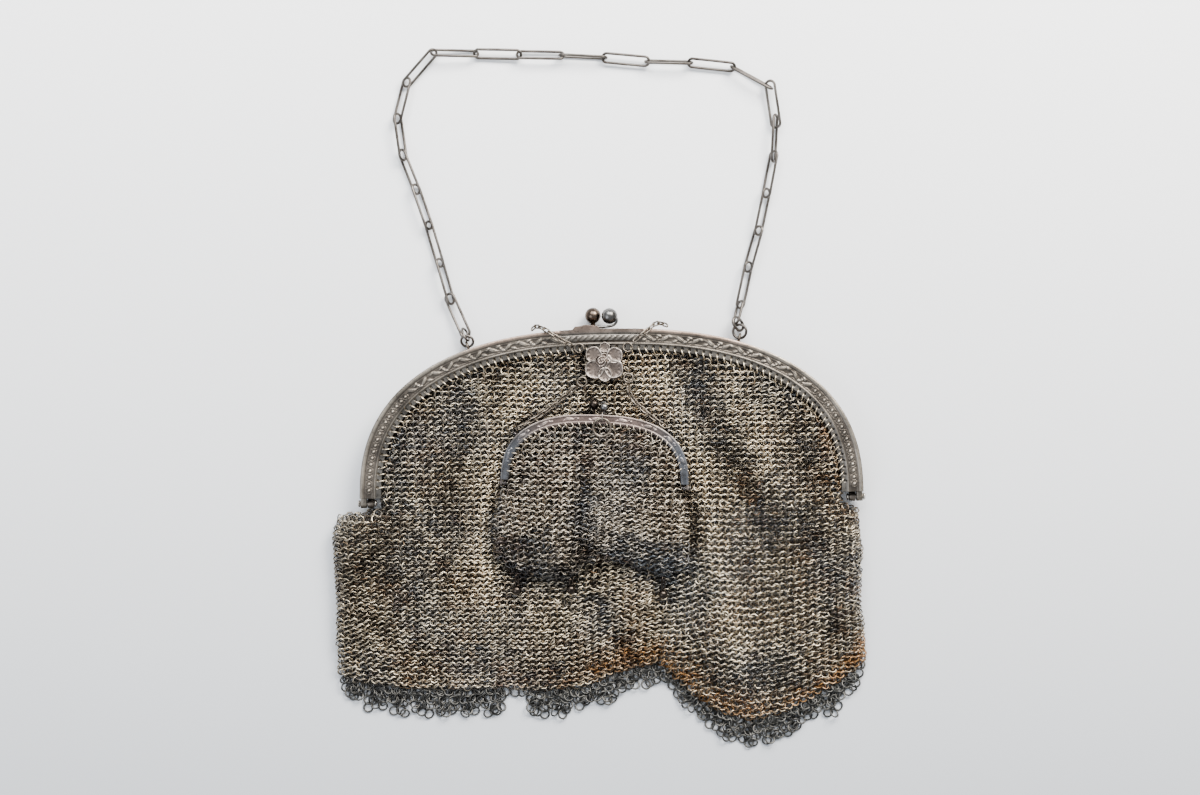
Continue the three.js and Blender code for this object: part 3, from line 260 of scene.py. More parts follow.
def set_points(obj, points):
    obj.data.vertices.foreach_set("co", np.asarray(points, np.float32).ravel())
    obj.data.update()


def points_of(obj):
    points = np.empty(len(obj.data.vertices) * 3)
    obj.data.vertices.foreach_get("co", points)
    return points.reshape(-1, 3)


def add_feature(obj, name, values):
    layer = obj.data.attributes.new(name, "FLOAT", "POINT")
    layer.data.foreach_set("value", np.asarray(values, np.float32).ravel())


def edit_where(obj, test):
    """Goes into edit mode on an object with only the points selected that pass a test."""
    chosen = test(points_of(obj))
    for part in (obj.data.edges, obj.data.polygons):
        part.foreach_set("select", np.zeros(len(part), bool))
    obj.data.vertices.foreach_set("select", chosen)
    bpy.ops.object.mode_set(mode="EDIT")
    bpy.ops.mesh.select_mode(type="VERT")


def made(obj, name, material, slot, *replaced, smooth=True):
    """Names a piece, gives it its material and puts it on the body."""
    if bpy.context.mode != "OBJECT":
        bpy.ops.object.mode_set(mode="OBJECT")
    obj.name = name
    obj.data.name = name
    obj.data.materials.clear()
    obj.data.materials.append(material)
    if smooth:
        obj.data.polygons.foreach_set("use_smooth", np.ones(len(obj.data.polygons), bool))
    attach(obj, "root")
    if replaced:
        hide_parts(*replaced)
    obj.select_set(False)
    return obj


def link_shape(length, width, wire, around, sides):
    """A closed wire link lying along X: a ring that is pulled out to its length."""
    free_of_selection()
    bpy.ops.mesh.primitive_torus_add(
        major_segments=around, minor_segments=sides,
        major_radius=(width - wire) / 2, minor_radius=wire / 2,
    )
    obj = new_object()
    pull = (length - width) / 2
    if pull > 0.001:
        for side in (-1, 1):
            edit_where(obj, lambda points: points[:, 0] * side > 1e-4)
            bpy.ops.transform.translate(value=(side * pull, 0, 0))
            bpy.ops.object.mode_set(mode="OBJECT")
    return obj


def taken_apart(obj):
    """A pattern's points, the corners of its faces and how many each face has. The object goes."""
    corners = np.empty(len(obj.data.loops), int)
    obj.data.loops.foreach_get("vertex_index", corners)
    totals = np.empty(len(obj.data.polygons), int)
    obj.data.polygons.foreach_get("loop_total", totals)
    points = points_of(obj)
    bpy.data.objects.remove(obj)
    return points, corners, totals


def copies(name, pattern, centres, along, across, features=None):
    """One mesh of many copies of a pattern, each at its centre and with its own two axes."""
    points, corners, totals = pattern
    centres, along, across = (np.asarray(a, float) for a in (centres, along, across))
    upward = np.cross(along, across)
    placed = (
        centres[:, None] + points[None, :, 0:1] * along[:, None]
        + points[None, :, 1:2] * across[:, None] + points[None, :, 2:3] * upward[:, None]
    )
    count = len(centres)
    mesh = bpy.data.meshes.new(name)
    mesh.vertices.add(count * len(points))
    mesh.vertices.foreach_set("co", metres(placed.reshape(-1, 3)).astype(np.float32).ravel())
    mesh.loops.add(count * len(corners))
    mesh.loops.foreach_set(
        "vertex_index", (corners[None] + len(points) * np.arange(count)[:, None]).ravel().astype(np.int32)
    )
    every = np.tile(totals, count)
    mesh.polygons.add(len(every))
    mesh.polygons.foreach_set("loop_start", np.concatenate([[0], np.cumsum(every)[:-1]]).astype(np.int32))
    mesh.update(calc_edges=True)
    obj = bpy.data.objects.new(name, mesh)
    bpy.context.scene.collection.objects.link(obj)
    for feature, values in (features or {}).items():
        add_feature(obj, feature, np.repeat(values, len(points)))
    return obj


def tarnish_and_shade_weave(obj, centres, side=1):
    """Lowers the tone of each ring's wire where it dips into the weave, away from the side that is seen:
    tarnish in the hollows of the weave together with painted shade, which makes its gaps read dark.
    """
    layer = obj.data.attributes["tone"]
    tone = np.empty(len(layer.data))
    layer.data.foreach_get("value", tone)
    each = len(tone) // len(centres)
    rise = side * (millimetres(points_of(obj))[:, 2] - np.repeat(np.asarray(centres)[:, 2], each))
    layer.data.foreach_set(
        "value", (tone * (0.12 + 0.88 * smooth_step(rise, -0.75, 0.55))).astype(np.float32))


def turned(outline, sides, centre, direction):
    """A turned piece: a disc that is extruded and scaled from one radius and height to the next."""
    free_of_selection()
    (radius, height), *rest = outline
    bpy.ops.mesh.primitive_circle_add(vertices=sides, radius=radius, fill_type="NGON", location=(0, 0, 0))
    obj = new_object()
    bpy.ops.object.mode_set(mode="EDIT")
    bpy.ops.mesh.select_all(action="SELECT")
    bpy.ops.transform.translate(value=(0, 0, height))
    for next_radius, next_height in rest:
        bpy.ops.mesh.extrude_region_move(TRANSFORM_OT_translate={"value": (0, 0, next_height - height)})
        share = next_radius / radius
        bpy.ops.transform.resize(value=(share, share, 1), center_override=(0, 0, next_height))
        radius, height = next_radius, next_height
    bpy.ops.mesh.select_all(action="SELECT")
    bpy.ops.mesh.normals_make_consistent(inside=False)
    bpy.ops.object.mode_set(mode="OBJECT")
    turn = Vector(direction).to_track_quat("Z", "Y").to_matrix()
    points = points_of(obj) @ np.array(turn).T + np.asarray(centre, float)
    set_points(obj, metres(points))
    return obj


def joined(objects):
    """Several objects as one mesh."""
    free_of_selection()
    for obj in objects:
        obj.select_set(True)
    bpy.context.view_layer.objects.active = objects[0]
    bpy.ops.object.join()
    return objects[0]


# Arches

def arch_line(sizes, count=6000):
    """The outer edge of an arch: its arc lengths, points and outward directions from the left foot."""
    a, b, n = sizes["half_width"], sizes["rise"], sizes["squareness"]
    turn = np.linspace(0, math.pi, count)
    cosine, sine = -np.cos(turn), np.sin(turn).clip(0)
    x = np.sign(cosine) * a * np.abs(cosine) ** (2 / n)
    y = b * sine ** (2 / n)
    length = np.concatenate([[0], np.cumsum(np.hypot(np.diff(x), np.diff(y)))])
    out = np.stack([np.sign(x) * (np.abs(x) / a) ** (n - 1) / a, (y / b) ** (n - 1) / b], -1)
    out /= np.linalg.norm(out, axis=1)[:, None]
    return length, np.stack([x, y], -1), out


def on_arch(sizes, u, inset):
    """Points and outward directions at arc lengths u, moved inwards."""
    length, points, out = sizes["line"]
    where = [np.interp(u, length, points[:, i]) for i in (0, 1)]
    facing = [np.interp(u, length, out[:, i]) for i in (0, 1)]
    size = np.hypot(*facing)
    facing = [f / size for f in facing]
    reach = np.minimum(1, 4 * np.minimum(u, length[-1] - u) / length[-1])
    full = sizes["foot_taper"] + (1 - sizes["foot_taper"]) * np.sqrt(reach)
    inset = np.where(np.asarray(inset) > 0, inset * full, inset)
    return where[0] - facing[0] * inset, where[1] - facing[1] * inset, facing


def arc_at_x(sizes, x):
    length, points, _ = sizes["line"]
    return float(np.interp(x, points[:, 0], length))


for sizes in (MAIN, COIN):
    sizes["line"] = arch_line(sizes)
    sizes["length"] = float(sizes["line"][0][-1])
    sizes["foot"] = sizes["knuckle"] - sizes["hinge_drop"] + GAP
    sizes["parting"] = sizes["base"] + sizes["depth"] / 2


def arch_band(sizes, insets, heights, steps, place=lambda points: points):
    """A closed band along an arch. insets and heights take arc lengths and give one column for each
    point of the profile, which runs once round the section."""
    u = np.linspace(sizes["foot"], sizes["length"] - sizes["foot"], steps + 1)
    inset, height = insets(u), heights(u)
    across = inset.shape[1]
    free_of_selection()
    bpy.ops.mesh.primitive_grid_add(x_subdivisions=across, y_subdivisions=steps, size=2)
    obj = new_object()
    grid = points_of(obj)
    column = np.rint((grid[:, 0] + 1) / 2 * across).astype(int) % across
    row = np.rint((grid[:, 1] + 1) / 2 * steps).astype(int)
    x, y, _ = on_arch(sizes, np.repeat(u[:, None], across, 1), inset)
    points = place(np.stack([x, y, height], -1))
    set_points(obj, metres(points[row, column]))
    obj.data.attributes.new("place_u", "FLOAT", "POINT").data.foreach_set("value", u[row].astype(np.float32))
    obj.data.attributes.new("place_v", "FLOAT", "POINT").data.foreach_set(
        "value", inset[row, column].astype(np.float32)
    )
    bpy.ops.object.mode_set(mode="EDIT")
    bpy.ops.mesh.select_all(action="SELECT")
    bpy.ops.mesh.remove_doubles(threshold=1e-7)
    bpy.ops.mesh.select_all(action="SELECT")
    bpy.ops.mesh.fill_holes(sides=0)
    bpy.ops.mesh.select_all(action="SELECT")
    bpy.ops.mesh.normals_make_consistent(inside=False)
    bpy.ops.object.mode_set(mode="OBJECT")
    return obj


def place_on_band(obj):
    values = []
    for name in ("place_u", "place_v"):
        layer = obj.data.attributes[name]
        data = np.empty(len(layer.data))
        layer.data.foreach_get("value", data)
        values.append(data)
    for name in ("place_u", "place_v"):
        obj.data.attributes.remove(obj.data.attributes[name])
    return values


def smooth_step(value, low, high):
    t = np.clip((value - low) / (high - low), 0, 1)
    return t * t * (3 - 2 * t)


def bump_at(value, centre, half):
    """1 at a centre, down to 0 at half a width on both sides."""
    return np.sqrt(np.clip(1 - ((value - centre) / half) ** 2, 0, 1))


def dome(u, v, cu, cv, radius):
    return np.sqrt(np.clip(1 - ((u - cu) ** 2 + (v - cv) ** 2) / radius ** 2, 0, 1))


def leaf(u, v, cu, cv, length, width, slant):
    """A leaf with a midrib: 1 at its highest, 0 outside."""
    cosine, sine = math.cos(slant), math.sin(slant)
    along = ((u - cu) * cosine + (v - cv) * sine) / (length / 2)
    aside = (-(u - cu) * sine + (v - cv) * cosine) / (width / 2)
    body = np.clip(1 - along ** 2 - aside ** 2, 0, 1) ** 0.6
    rib = np.exp(-(aside / 0.22) ** 2) * 0.35
    return body * (1 - rib)


# The face of the main frame

HOLE_PITCH = 2.62
HOLE_INSET = 6.25
hole_count = int((MAIN["length"] - 6) / HOLE_PITCH)
hole_arcs = (MAIN["length"] - (hole_count - 1) * HOLE_PITCH) / 2 + np.arange(hole_count) * HOLE_PITCH
plate_arcs = (arc_at_x(MAIN, -17), arc_at_x(MAIN, 12))
crest_arcs = (arc_at_x(MAIN, -13), arc_at_x(MAIN, -3))


def main_relief(u, v):
    """The height of the main frame's face over its bed, at an arc length and an inset."""
    side = np.minimum(u, MAIN["length"] - u)
    height = 0.45 * bump_at(v, 0.72, 0.85)
    height = np.maximum(height, 0.16 * bump_at(v, 1.95, 0.22))
    height = np.maximum(height, 0.32 * bump_at(v, 5.15, 0.38))
    height = np.maximum(height, 0.14 * bump_at(v, 4.45, 0.2))
    for i in range(17):
        centre = (i + 1.5) * 2.4
        near = np.abs(side - centre) < 1.6
        height = np.where(near, np.maximum(height, 0.55 * dome(side, v, centre, 3.1, 0.66)), height)
        ring = np.hypot(side - centre, v - 3.1)
        height = np.where(near, np.maximum(height, 0.2 * bump_at(ring, 1.05, 0.2)), height)
    start = 19 * 2.4
    wave = 3.1 + 0.75 * np.sin((side - start) / 11 * 2 * math.pi)
    vine = 0.22 * bump_at(v, wave, 0.24)
    height = np.where(side > start - 3, np.maximum(height, vine), height)
    for i in range(6):
        for shift, across, length, width, slant in (
            (0.0, 3.1, 3.6, 1.35, 30), (5.5, 3.1, 3.6, 1.35, -30), (2.0, 2.35, 2.2, 0.9, -20),
            (3.6, 3.9, 2.0, 0.85, 25), (7.4, 3.9, 2.2, 0.9, 20), (9.2, 2.35, 2.0, 0.85, -25),
        ):
            shape = leaf(side, v, start + i * 11 + shift, across, length, width, math.radians(slant))
            height = np.maximum(height, 0.46 * shape)
        height = np.maximum(height, 0.42 * dome(side, v, start + i * 11 + 2.75, 3.1, 0.55))
    plate = smooth_step(u, plate_arcs[0] - 0.5, plate_arcs[0] + 0.5)
    plate = plate * (1 - smooth_step(u, plate_arcs[1] - 0.5, plate_arcs[1] + 0.5))
    plate = plate * (1 - smooth_step(v, 4.0, 4.4))
    raised = 0.5 + 0.0 * u
    for i in range(13):
        centre = plate_arcs[0] + (i + 1) * 2.05
        raised = np.maximum(raised, 0.5 + 0.3 * leaf(u, v, centre, 3.2, 2.5, 0.95, math.radians(-38)))
    groove = 0.2 * np.exp(-((v - 1.9) / 0.16) ** 2)
    return height * (1 - plate) + (raised - groove) * plate


def main_holes(u, v):
    nearest = hole_arcs[np.abs(np.asarray(u)[..., None] - hole_arcs).argmin(-1)]
    away = np.hypot(u - nearest, v - HOLE_INSET)
    return 1 - smooth_step(away, 0.3, 0.52)


def crest_reach(u):
    """How far the crest over the centre plate stands out past the arch."""
    middle = (crest_arcs[0] + crest_arcs[1]) / 2
    half = (crest_arcs[1] - crest_arcs[0]) / 2
    across = np.abs(u - middle) / half
    return 1.5 * (1 - smooth_step(across, 0.72, 1.0)) * (0.86 + 0.14 * np.cos(across * 5))


FACE_INSETS = np.concatenate([
    [0.0, 0.06, 0.16, 0.32], np.arange(0.55, 4.9, 0.2), np.arange(4.9, 5.6, 0.14),
    np.arange(5.75, 7.4, 0.165), [7.42],
])


def main_insets(u):
    under = [7.5, 7.5, 7.4, 4.5, 1.3, 1.3, 1.1, 0.15, 0.0, 0.0]
    profile = np.concatenate([FACE_INSETS, under])
    inset = np.repeat(profile[None], len(u), 0)
    out = crest_reach(u)[:, None]
    return np.where(inset < 1.3, inset - out * (1 - inset / 1.3), inset)


def main_heights(u):
    top = MAIN["base"] + MAIN["depth"]
    bed = top - 0.45
    uu = np.repeat(u[:, None], len(FACE_INSETS), 1)
    vv = np.repeat(FACE_INSETS[None], len(u), 0)
    face = bed + main_relief(uu, vv) - 0.62 * main_holes(uu, vv)
    face[:, -1] -= 0.06
    low = MAIN["parting"] + GAP / 2
    under = [bed - 0.2, bed - 0.8, bed - 0.9, bed - 0.9, bed - 0.95,
             low + 0.1, low, low, low + 0.12, bed - 0.3]
    return np.concatenate([face, np.repeat(np.array(under)[None], len(u), 0)], 1)


front = arch_band(MAIN, main_insets, main_heights, 1150)
place_u, place_v = place_on_band(front)
height_over_bed = points_of(front)[:, 2] * 1000 - (MAIN["base"] + MAIN["depth"] - 0.45)
on_face = smooth_step(height_over_bed, -0.9, -0.5)
crest_here = crest_reach(place_u) / 1.5
add_feature(front, "copper", np.clip(
    0.55 * (1 - smooth_step(place_v, 0.8, 1.5))
    * smooth_step(np.minimum(place_u, MAIN["length"] - place_u), 60, 80)
    + 0.6 * crest_here * (1 - smooth_step(place_v, -0.6, 0.2)), 0, 0.8))
centre_plate = smooth_step(place_u, *[plate_arcs[0] + d for d in (-0.5, 0.5)])
centre_plate = centre_plate * (1 - smooth_step(place_u, *[plate_arcs[1] + d for d in (-0.5, 0.5)]))
worn = np.clip(0.32 + height_over_bed * 1.5 - main_holes(place_u, place_v), 0, 1) * on_face
on_plate = centre_plate * (1 - smooth_step(place_v, 3.8, 4.3))
carved = np.clip((height_over_bed - 0.42) * 2.6, 0, 1)
worn = worn * (1 - on_plate) + (0.28 + 0.6 * carved) * on_plate * on_face
add_feature(front, "raised", np.where((place_v < 0.02) | (height_over_bed < -0.75), 0.5, worn))
add_feature(front, "cool", np.clip(
    0.75 * smooth_step(place_v, 5.3, 5.7)
    + 0.5 * centre_plate * (1 - smooth_step(place_v, 3.8, 4.3)), 0, 0.8))


# Hinges, pins and ears

def knuckle(sizes, side, half, place=lambda points: points):
    """A solid barrel on the pin's line. It stands on the foot of its half of the frame."""
    outer = sizes["half_width"] + sizes["knuckle_reach"] - (0 if half > 0 else sizes["knuckle_length"] + GAP)
    inner = outer - sizes["knuckle_length"]
    free_of_selection()
    bpy.ops.mesh.primitive_cylinder_add(
        vertices=20, radius=sizes["knuckle"], depth=outer - inner, end_fill_type="NGON")
    obj = new_object()
    bpy.ops.object.modifier_add(type="BEVEL")
    obj.modifiers[-1].width = 0.18
    obj.modifiers[-1].segments = 2
    obj.modifiers[-1].limit_method = "ANGLE"
    bpy.ops.object.modifier_apply(modifier=obj.modifiers[-1].name)
    x, y, z = points_of(obj).T
    points = np.stack([side * (z + (inner + outer) / 2), y - sizes["hinge_drop"], x + sizes["parting"]], -1)
    set_points(obj, metres(place(points)))
    return obj


def foot_block(sizes, side, half, place=lambda points: points):
    """The end of the arch where it comes down to its knuckle."""
    outer = sizes["half_width"] + sizes["knuckle_reach"] - (0 if half > 0 else sizes["knuckle_length"] + GAP)
    inner = outer - sizes["knuckle_length"]
    low = sizes["parting"] + (GAP / 2 if half > 0 else -sizes["knuckle"])
    high = sizes["parting"] + (sizes["knuckle"] if half > 0 else -GAP / 2)
    outer = min(outer, sizes["half_width"])
    free_of_selection()
    bpy.ops.mesh.primitive_cube_add(size=1)
    obj = new_object()
    bpy.ops.object.modifier_add(type="BEVEL")
    obj.modifiers[-1].width = 0.12
    obj.modifiers[-1].segments = 2
    bpy.ops.object.modifier_apply(modifier=obj.modifiers[-1].name)
    bottom, top = -sizes["hinge_drop"], sizes["foot"] + sizes["wall"]
    x, y, z = (points_of(obj) + 0.5).T
    points = np.stack([
        side * (inner + x * (outer - inner)), bottom + y * (top - bottom), low + z * (high - low),
    ], -1)
    set_points(obj, metres(place(points)))
    return obj


def plain_features(obj, raised=0.75, copper=0.0, cool=0.0):
    for name, value in (("raised", raised), ("copper", copper), ("cool", cool)):
        if name not in obj.data.attributes:
            add_feature(obj, name, np.full(len(obj.data.vertices), value))
    return obj


parts = [front]
for side in (-1, 1):
    parts += [plain_features(knuckle(MAIN, side, 1)), plain_features(foot_block(MAIN, side, 1))]
made(joined(parts), "cast_front_frame", frame_metal, "cast_frame", "frame_front")


def back_band(sizes, steps, place=lambda points: points):
    low, high = sizes["base"], sizes["parting"] - GAP / 2
    band, wall, plate = sizes["band"], sizes["wall"], sizes["plate"]
    profile = [
        (0.0, high), (0.0, high - 0.3), (0.0, low + 0.5), (0.12, low + 0.15), (0.4, low), (band / 2, low),
        (band - 0.2, low), (band, low + 0.15), (band, low + plate - 0.1), (band - 0.1, low + plate),
        (band / 2, low + plate), (wall, low + plate), (wall, high - 0.1), (wall - 0.1, high),
    ]
    inset, height = np.array(profile).T
    return arch_band(
        sizes, lambda u: np.repeat(inset[None], len(u), 0),
        lambda u: np.repeat(height[None], len(u), 0), steps, place,
    )


def ear(sizes, x, z, place=lambda points: points):
    """A cast ring that stands on the outer wall."""
    u = arc_at_x(sizes, x)
    cx, cy, out = on_arch(sizes, np.array([u]), np.array([-sizes["ear_off"]]))
    shape = taken_apart(link_shape(2 * sizes["ear"] + sizes["ear_wire"], 2 * sizes["ear"] + sizes["ear_wire"],
                                   sizes["ear_wire"], 24, 10))
    centre = np.array([[cx[0], cy[0], z]])
    along = np.array([[out[0][0], out[1][0], 0]])
    obj = copies("ear", shape, centre, along, np.array([[0, 0, 1.0]]))
    if place is not None:
        set_points(obj, metres(place(millimetres(points_of(obj)))))
    return obj


parts = [back_band(MAIN, 420)]
place_on_band(parts[0])
for side in (-1, 1):
    parts += [knuckle(MAIN, side, -1), foot_block(MAIN, side, -1)]
parts += [ear(MAIN, -49.3, 2.6), ear(MAIN, 45.2, 2.6)]
for part in parts:
    plain_features(part, 0.6, 0.1, 0.25)
made(joined(parts), "cast_back_frame", frame_metal, "cast_frame", "frame_back")


def hinge_pin(sizes, side, radius, head, head_length, place=lambda points: points):
    outer_start = sizes["half_width"] + sizes["knuckle_reach"] - 2 * sizes["knuckle_length"] - 2 * GAP
    end = sizes["half_width"] + sizes["knuckle_reach"] + GAP
    outline = [
        (head * 0.45, outer_start - head_length), (head * 0.85, outer_start - head_length * 0.8),
        (head, outer_start - head_length * 0.4), (head, outer_start), (radius, outer_start + 0.02),
        (radius, end - 0.02), (head, end), (head, end + head_length * 0.4),
        (head * 0.85, end + head_length * 0.8), (head * 0.45, end + head_length),
    ]
    obj = turned(outline, 20, (0, 0, 0), (side, 0, 0))
    points = millimetres(points_of(obj)) + np.array([0, -sizes["hinge_drop"], sizes["parting"]])
    set_points(obj, metres(place(points)))
    return obj


for side, name in ((-1, "left"), (1, "right")):
    pin = hinge_pin(MAIN, side, 0.6, 1.2, 0.7)
    made(pin, f"turned_pin_{name}", pin_metal, "polished_metal", f"hinge_pin_{name}")


# Height fields of the bags

def soft_noise(x, y, size, seed):
    """Smooth clouds from -1 to 1 over a plane, of a size in millimetres."""
    random = np.random.default_rng(seed)
    table = random.uniform(-1, 1, (64, 64))
    gx, gy = np.asarray(x) / size + 31.3, np.asarray(y) / size + 27.7
    ix, iy = np.floor(gx).astype(int), np.floor(gy).astype(int)
    fx, fy = gx - ix, gy - iy
    fx, fy = fx * fx * (3 - 2 * fx), fy * fy * (3 - 2 * fy)
    pick = lambda i, j: table[(ix + i) % 64, (iy + j) % 64]
    low = pick(0, 0) * (1 - fx) + pick(1, 0) * fx
    high = pick(0, 1) * (1 - fx) + pick(1, 1) * fx
    return low * (1 - fy) + high * fy


def blurred(values, sigma):
    reach = int(3 * sigma)
    kernel = np.exp(-0.5 * (np.arange(-reach, reach + 1) / sigma) ** 2)
    kernel /= kernel.sum()
    for axis in (0, 1):
        padded = np.pad(values, [(reach, reach) if a == axis else (0, 0) for a in (0, 1)])
        size = values.shape[axis]
        values = sum(
            weight * np.take(padded, range(k, k + size), axis) for k, weight in enumerate(kernel)
        )
    return values


def top_surface(node, place, margin=6, step=1.0, sigma=2.5):
    """A CAD bag's upper side as a grid of heights, smoothed as cloth would lie."""
    mesh = nodes[node].data
    tree = BVHTree.FromPolygons([v.co for v in mesh.vertices], [p.vertices for p in mesh.polygons])
    low, high = (place(np.array(c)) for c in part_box(node))
    xs = np.arange(min(low[0], high[0]) - margin, max(low[0], high[0]) + margin, step)
    ys = np.arange(min(low[1], high[1]) - margin, max(low[1], high[1]) + margin, step)
    heights = np.zeros((len(xs), len(ys)))
    hit = np.zeros((len(xs), len(ys)))
    inverse = unplace[node]
    for i, x in enumerate(xs):
        for j, y in enumerate(ys):
            start = inverse(np.array([x, y, 60.0]))
            found = tree.ray_cast(Vector(start), Vector((0, 0, -1)))[0]
            if found is not None:
                heights[i, j] = found.z * 1000
                hit[i, j] = 1
    weight = blurred(hit, sigma)
    near = blurred(heights * hit, sigma) / np.maximum(weight, 1e-6)
    wide_weight = blurred(hit, sigma * 3)
    wide = blurred(heights * hit, sigma * 3) / np.maximum(wide_weight, 1e-6)
    return {"x": xs, "y": ys, "z": np.where(weight > 0.02, near, wide), "step": step}


def height_at(field, x, y):
    gx = np.clip((x - field["x"][0]) / field["step"], 0, len(field["x"]) - 1.001)
    gy = np.clip((y - field["y"][0]) / field["step"], 0, len(field["y"]) - 1.001)
    ix, iy = gx.astype(int), gy.astype(int)
    fx, fy = gx - ix, gy - iy
    z = field["z"]
    low = z[ix, iy] * (1 - fx) + z[ix + 1, iy] * fx
    high = z[ix, iy + 1] * (1 - fx) + z[ix + 1, iy + 1] * fx
    return low * (1 - fy) + high * fy


unplace = {
    "mesh_bag_front": lambda point: metres(point),
    "coin_bag": lambda point: metres(from_coin(point)),
}


def to_coin(points):
    points = np.asarray(points, float)
    x, y = points[..., 0] - COIN_PLACE[0], points[..., 1] - COIN_PLACE[1]
    cosine, sine = math.cos(COIN_TURN), math.sin(COIN_TURN)
    return np.stack([x * cosine + y * sine, -x * sine + y * cosine, points[..., 2]], -1)


def outline_of(node, place):
    """The outline of a CAD bag's flat underside, as an ordered loop of points."""
    mesh = nodes[node].data
    points = millimetres(np.array([v.co for v in mesh.vertices]))
    low = points[:, 2].min()
    key = {}
    index = [key.setdefault((round(p[0], 3), round(p[1], 3), round(p[2], 3)), len(key)) for p in points]
    place_of = {number: np.array(p) for p, number in key.items()}
    edges = {}
    for face in mesh.polygons:
        corners = [index[v] for v in face.vertices]
        if all(place_of[c][2] < low + 0.02 for c in corners):
            for a, b in zip(corners, corners[1:] + corners[:1]):
                edges[(a, b)] = edges.get((a, b), 0) + 1
    border = {a: b for a, b in edges if (b, a) not in edges}
    start = next(iter(border))
    loop = [start]
    while border[loop[-1]] != start and len(loop) <= len(border):
        loop.append(border[loop[-1]])
    return place(np.array([place_of[c] for c in loop]))[:, :2]


def within(x, y, loop):
    inside = np.zeros(np.shape(x), bool)
    for (ax, ay), (bx, by) in zip(loop, np.roll(loop, -1, 0)):
        crosses = (ay > y) != (by > y)
        with np.errstate(divide="ignore", invalid="ignore"):
            at = ax + (y - ay) * (bx - ax) / (by - ay)
        inside ^= crosses & (x < at)
    return inside


def edge_distance(x, y, loop, keep=lambda ax, ay, bx, by: True):
    best = np.full(np.shape(x), 1e9)
    for (ax, ay), (bx, by) in zip(loop, np.roll(loop, -1, 0)):
        if not keep(ax, ay, bx, by):
            continue
        dx, dy = bx - ax, by - ay
        t = np.clip(((x - ax) * dx + (y - ay) * dy) / max(dx * dx + dy * dy, 1e-9), 0, 1)
        best = np.minimum(best, np.hypot(x - ax - t * dx, y - ay - t * dy))
    return best


# Ring mesh

def hem_height(loop, x):
    """The lowest height of an outline at each x."""
    low = np.full(np.shape(x), 0.0)
    for (ax, ay), (bx, by) in zip(loop, np.roll(loop, -1, 0)):
        if abs(bx - ax) < 1e-6:
            continue
        span = (np.minimum(ax, bx) <= x) & (x <= np.maximum(ax, bx))
        at = ay + (x - ax) * (by - ay) / (bx - ax)
        low = np.where(span, np.minimum(low, at), low)
    return low


def lattice(rows, x_range, height, pitch):
    """Places of rings along rows. rows holds a function from x to y for each, and the rings are spaced
    along the cloth itself, so that they crowd where it is steep."""
    xs = np.arange(x_range[0], x_range[1], 0.25)
    middle = int(np.abs(xs).argmin())
    found = []
    for number, row in enumerate(rows):
        ys = row(xs)
        zs = height(xs, ys)
        length = np.concatenate([[0], np.cumsum(np.hypot(np.diff(xs), np.diff(zs)))])
        length -= length[middle]
        first = math.ceil(length[0] / pitch) + 1
        last = math.floor(length[-1] / pitch) - 1
        wanted = (np.arange(first, last) + (0.5 if number % 2 else 0.0)) * pitch
        x = np.interp(wanted, length, xs)
        y = row(x)
        drift = 0.9 * soft_noise(x, y, 24, 52)
        found.append(np.stack([x + drift, y + 0.5 * soft_noise(x, y, 18, 51), np.full(len(x), number)], -1))
    return np.concatenate(found)


def woven(places, height, lean, twist, jitter, random, drop=math.radians(14), lift=0.2, swing=0.0):
    """Centres and axes of linked rings: the rows lean either way in turn. The drop tips them all one
    way, and the lift sets the rows apart in height."""
    x, y, number = places.T
    count = len(x)
    step = 0.4
    z = height(x, y)
    slope_x = (height(x + step, y) - height(x - step, y)) / (2 * step)
    slope_y = (height(x, y + step) - height(x, y - step)) / (2 * step)
    along = np.stack([np.ones(count), np.zeros(count), slope_x], -1)
    along /= np.linalg.norm(along, axis=1)[:, None]
    normal = np.stack([-slope_x, -slope_y, np.ones(count)], -1)
    normal /= np.linalg.norm(normal, axis=1)[:, None]
    up = np.cross(normal, along)
    way = np.where(number % 2 < 0.5, 1.0, -1.0)
    tilt = way * lean - drop + random.normal(0, jitter, count)
    turn = way * twist + random.normal(0, jitter, count)
    yaw = random.normal(0, jitter * 1.3, count) + swing
    ut, un = np.cos(turn), -np.sin(turn)
    vt, vb, vn = np.sin(tilt) * np.sin(turn), np.cos(tilt), np.sin(tilt) * np.cos(turn)
    c, s = np.cos(yaw), np.sin(yaw)
    u_axis = along * (ut * c)[:, None] + up * (ut * s)[:, None] + normal * un[:, None]
    v_axis = along * (vt * c - vb * s)[:, None] + up * (vt * s + vb * c)[:, None] + normal * vn[:, None]
    centres = np.stack([x, y, z + lift * way], -1) + random.normal(0, 0.09, (count, 3))
    return centres, u_axis, v_axis


bag_field = top_surface("mesh_bag_front", millimetres)
bag_loop = outline_of("mesh_bag_back", lambda points: points)


# Soft folds: points down each one, its half width, its height and how much paler its rings are, which is
# painted light on the ridges and painted shade in the valleys
BAG_FOLDS = [
    ([(12, 45), (29, 16), (38, -29), (45, -62)], 7, 0.9, 0.46),
    ([(-27, 40), (-39, 23), (-45, -8), (-44, -38)], 5.5, 0.9, 0.5),
    ([(41, 40), (52, 22), (58, 4)], 6, 0.5, 0.22),
    ([(-58, 38), (-73, 8)], 4.5, 0.4, 0.14),
    ([(-74, -12), (-80, -60)], 7, 0.5, 0.0),
    ([(27, 48), (32, 28), (44, 8), (58, -14)], 7.5, -0.9, -0.42),
    ([(61, 30), (73, 0)], 7, -0.9, -0.32),
    ([(-52, 36), (-56, 6), (-57, -26)], 6.5, -1.1, -0.3),
    ([(-74, 24), (-80, 2)], 5, -0.5, -0.2),
    ([(-8, -27), (-3, -42), (6, -56)], 4, -0.9, -0.32),
    ([(70, -12), (77, -32), (82, -54)], 9, -0.5, -0.3),
    ([(4, -50), (9, -60)], 5, -0.5, -0.3),
]


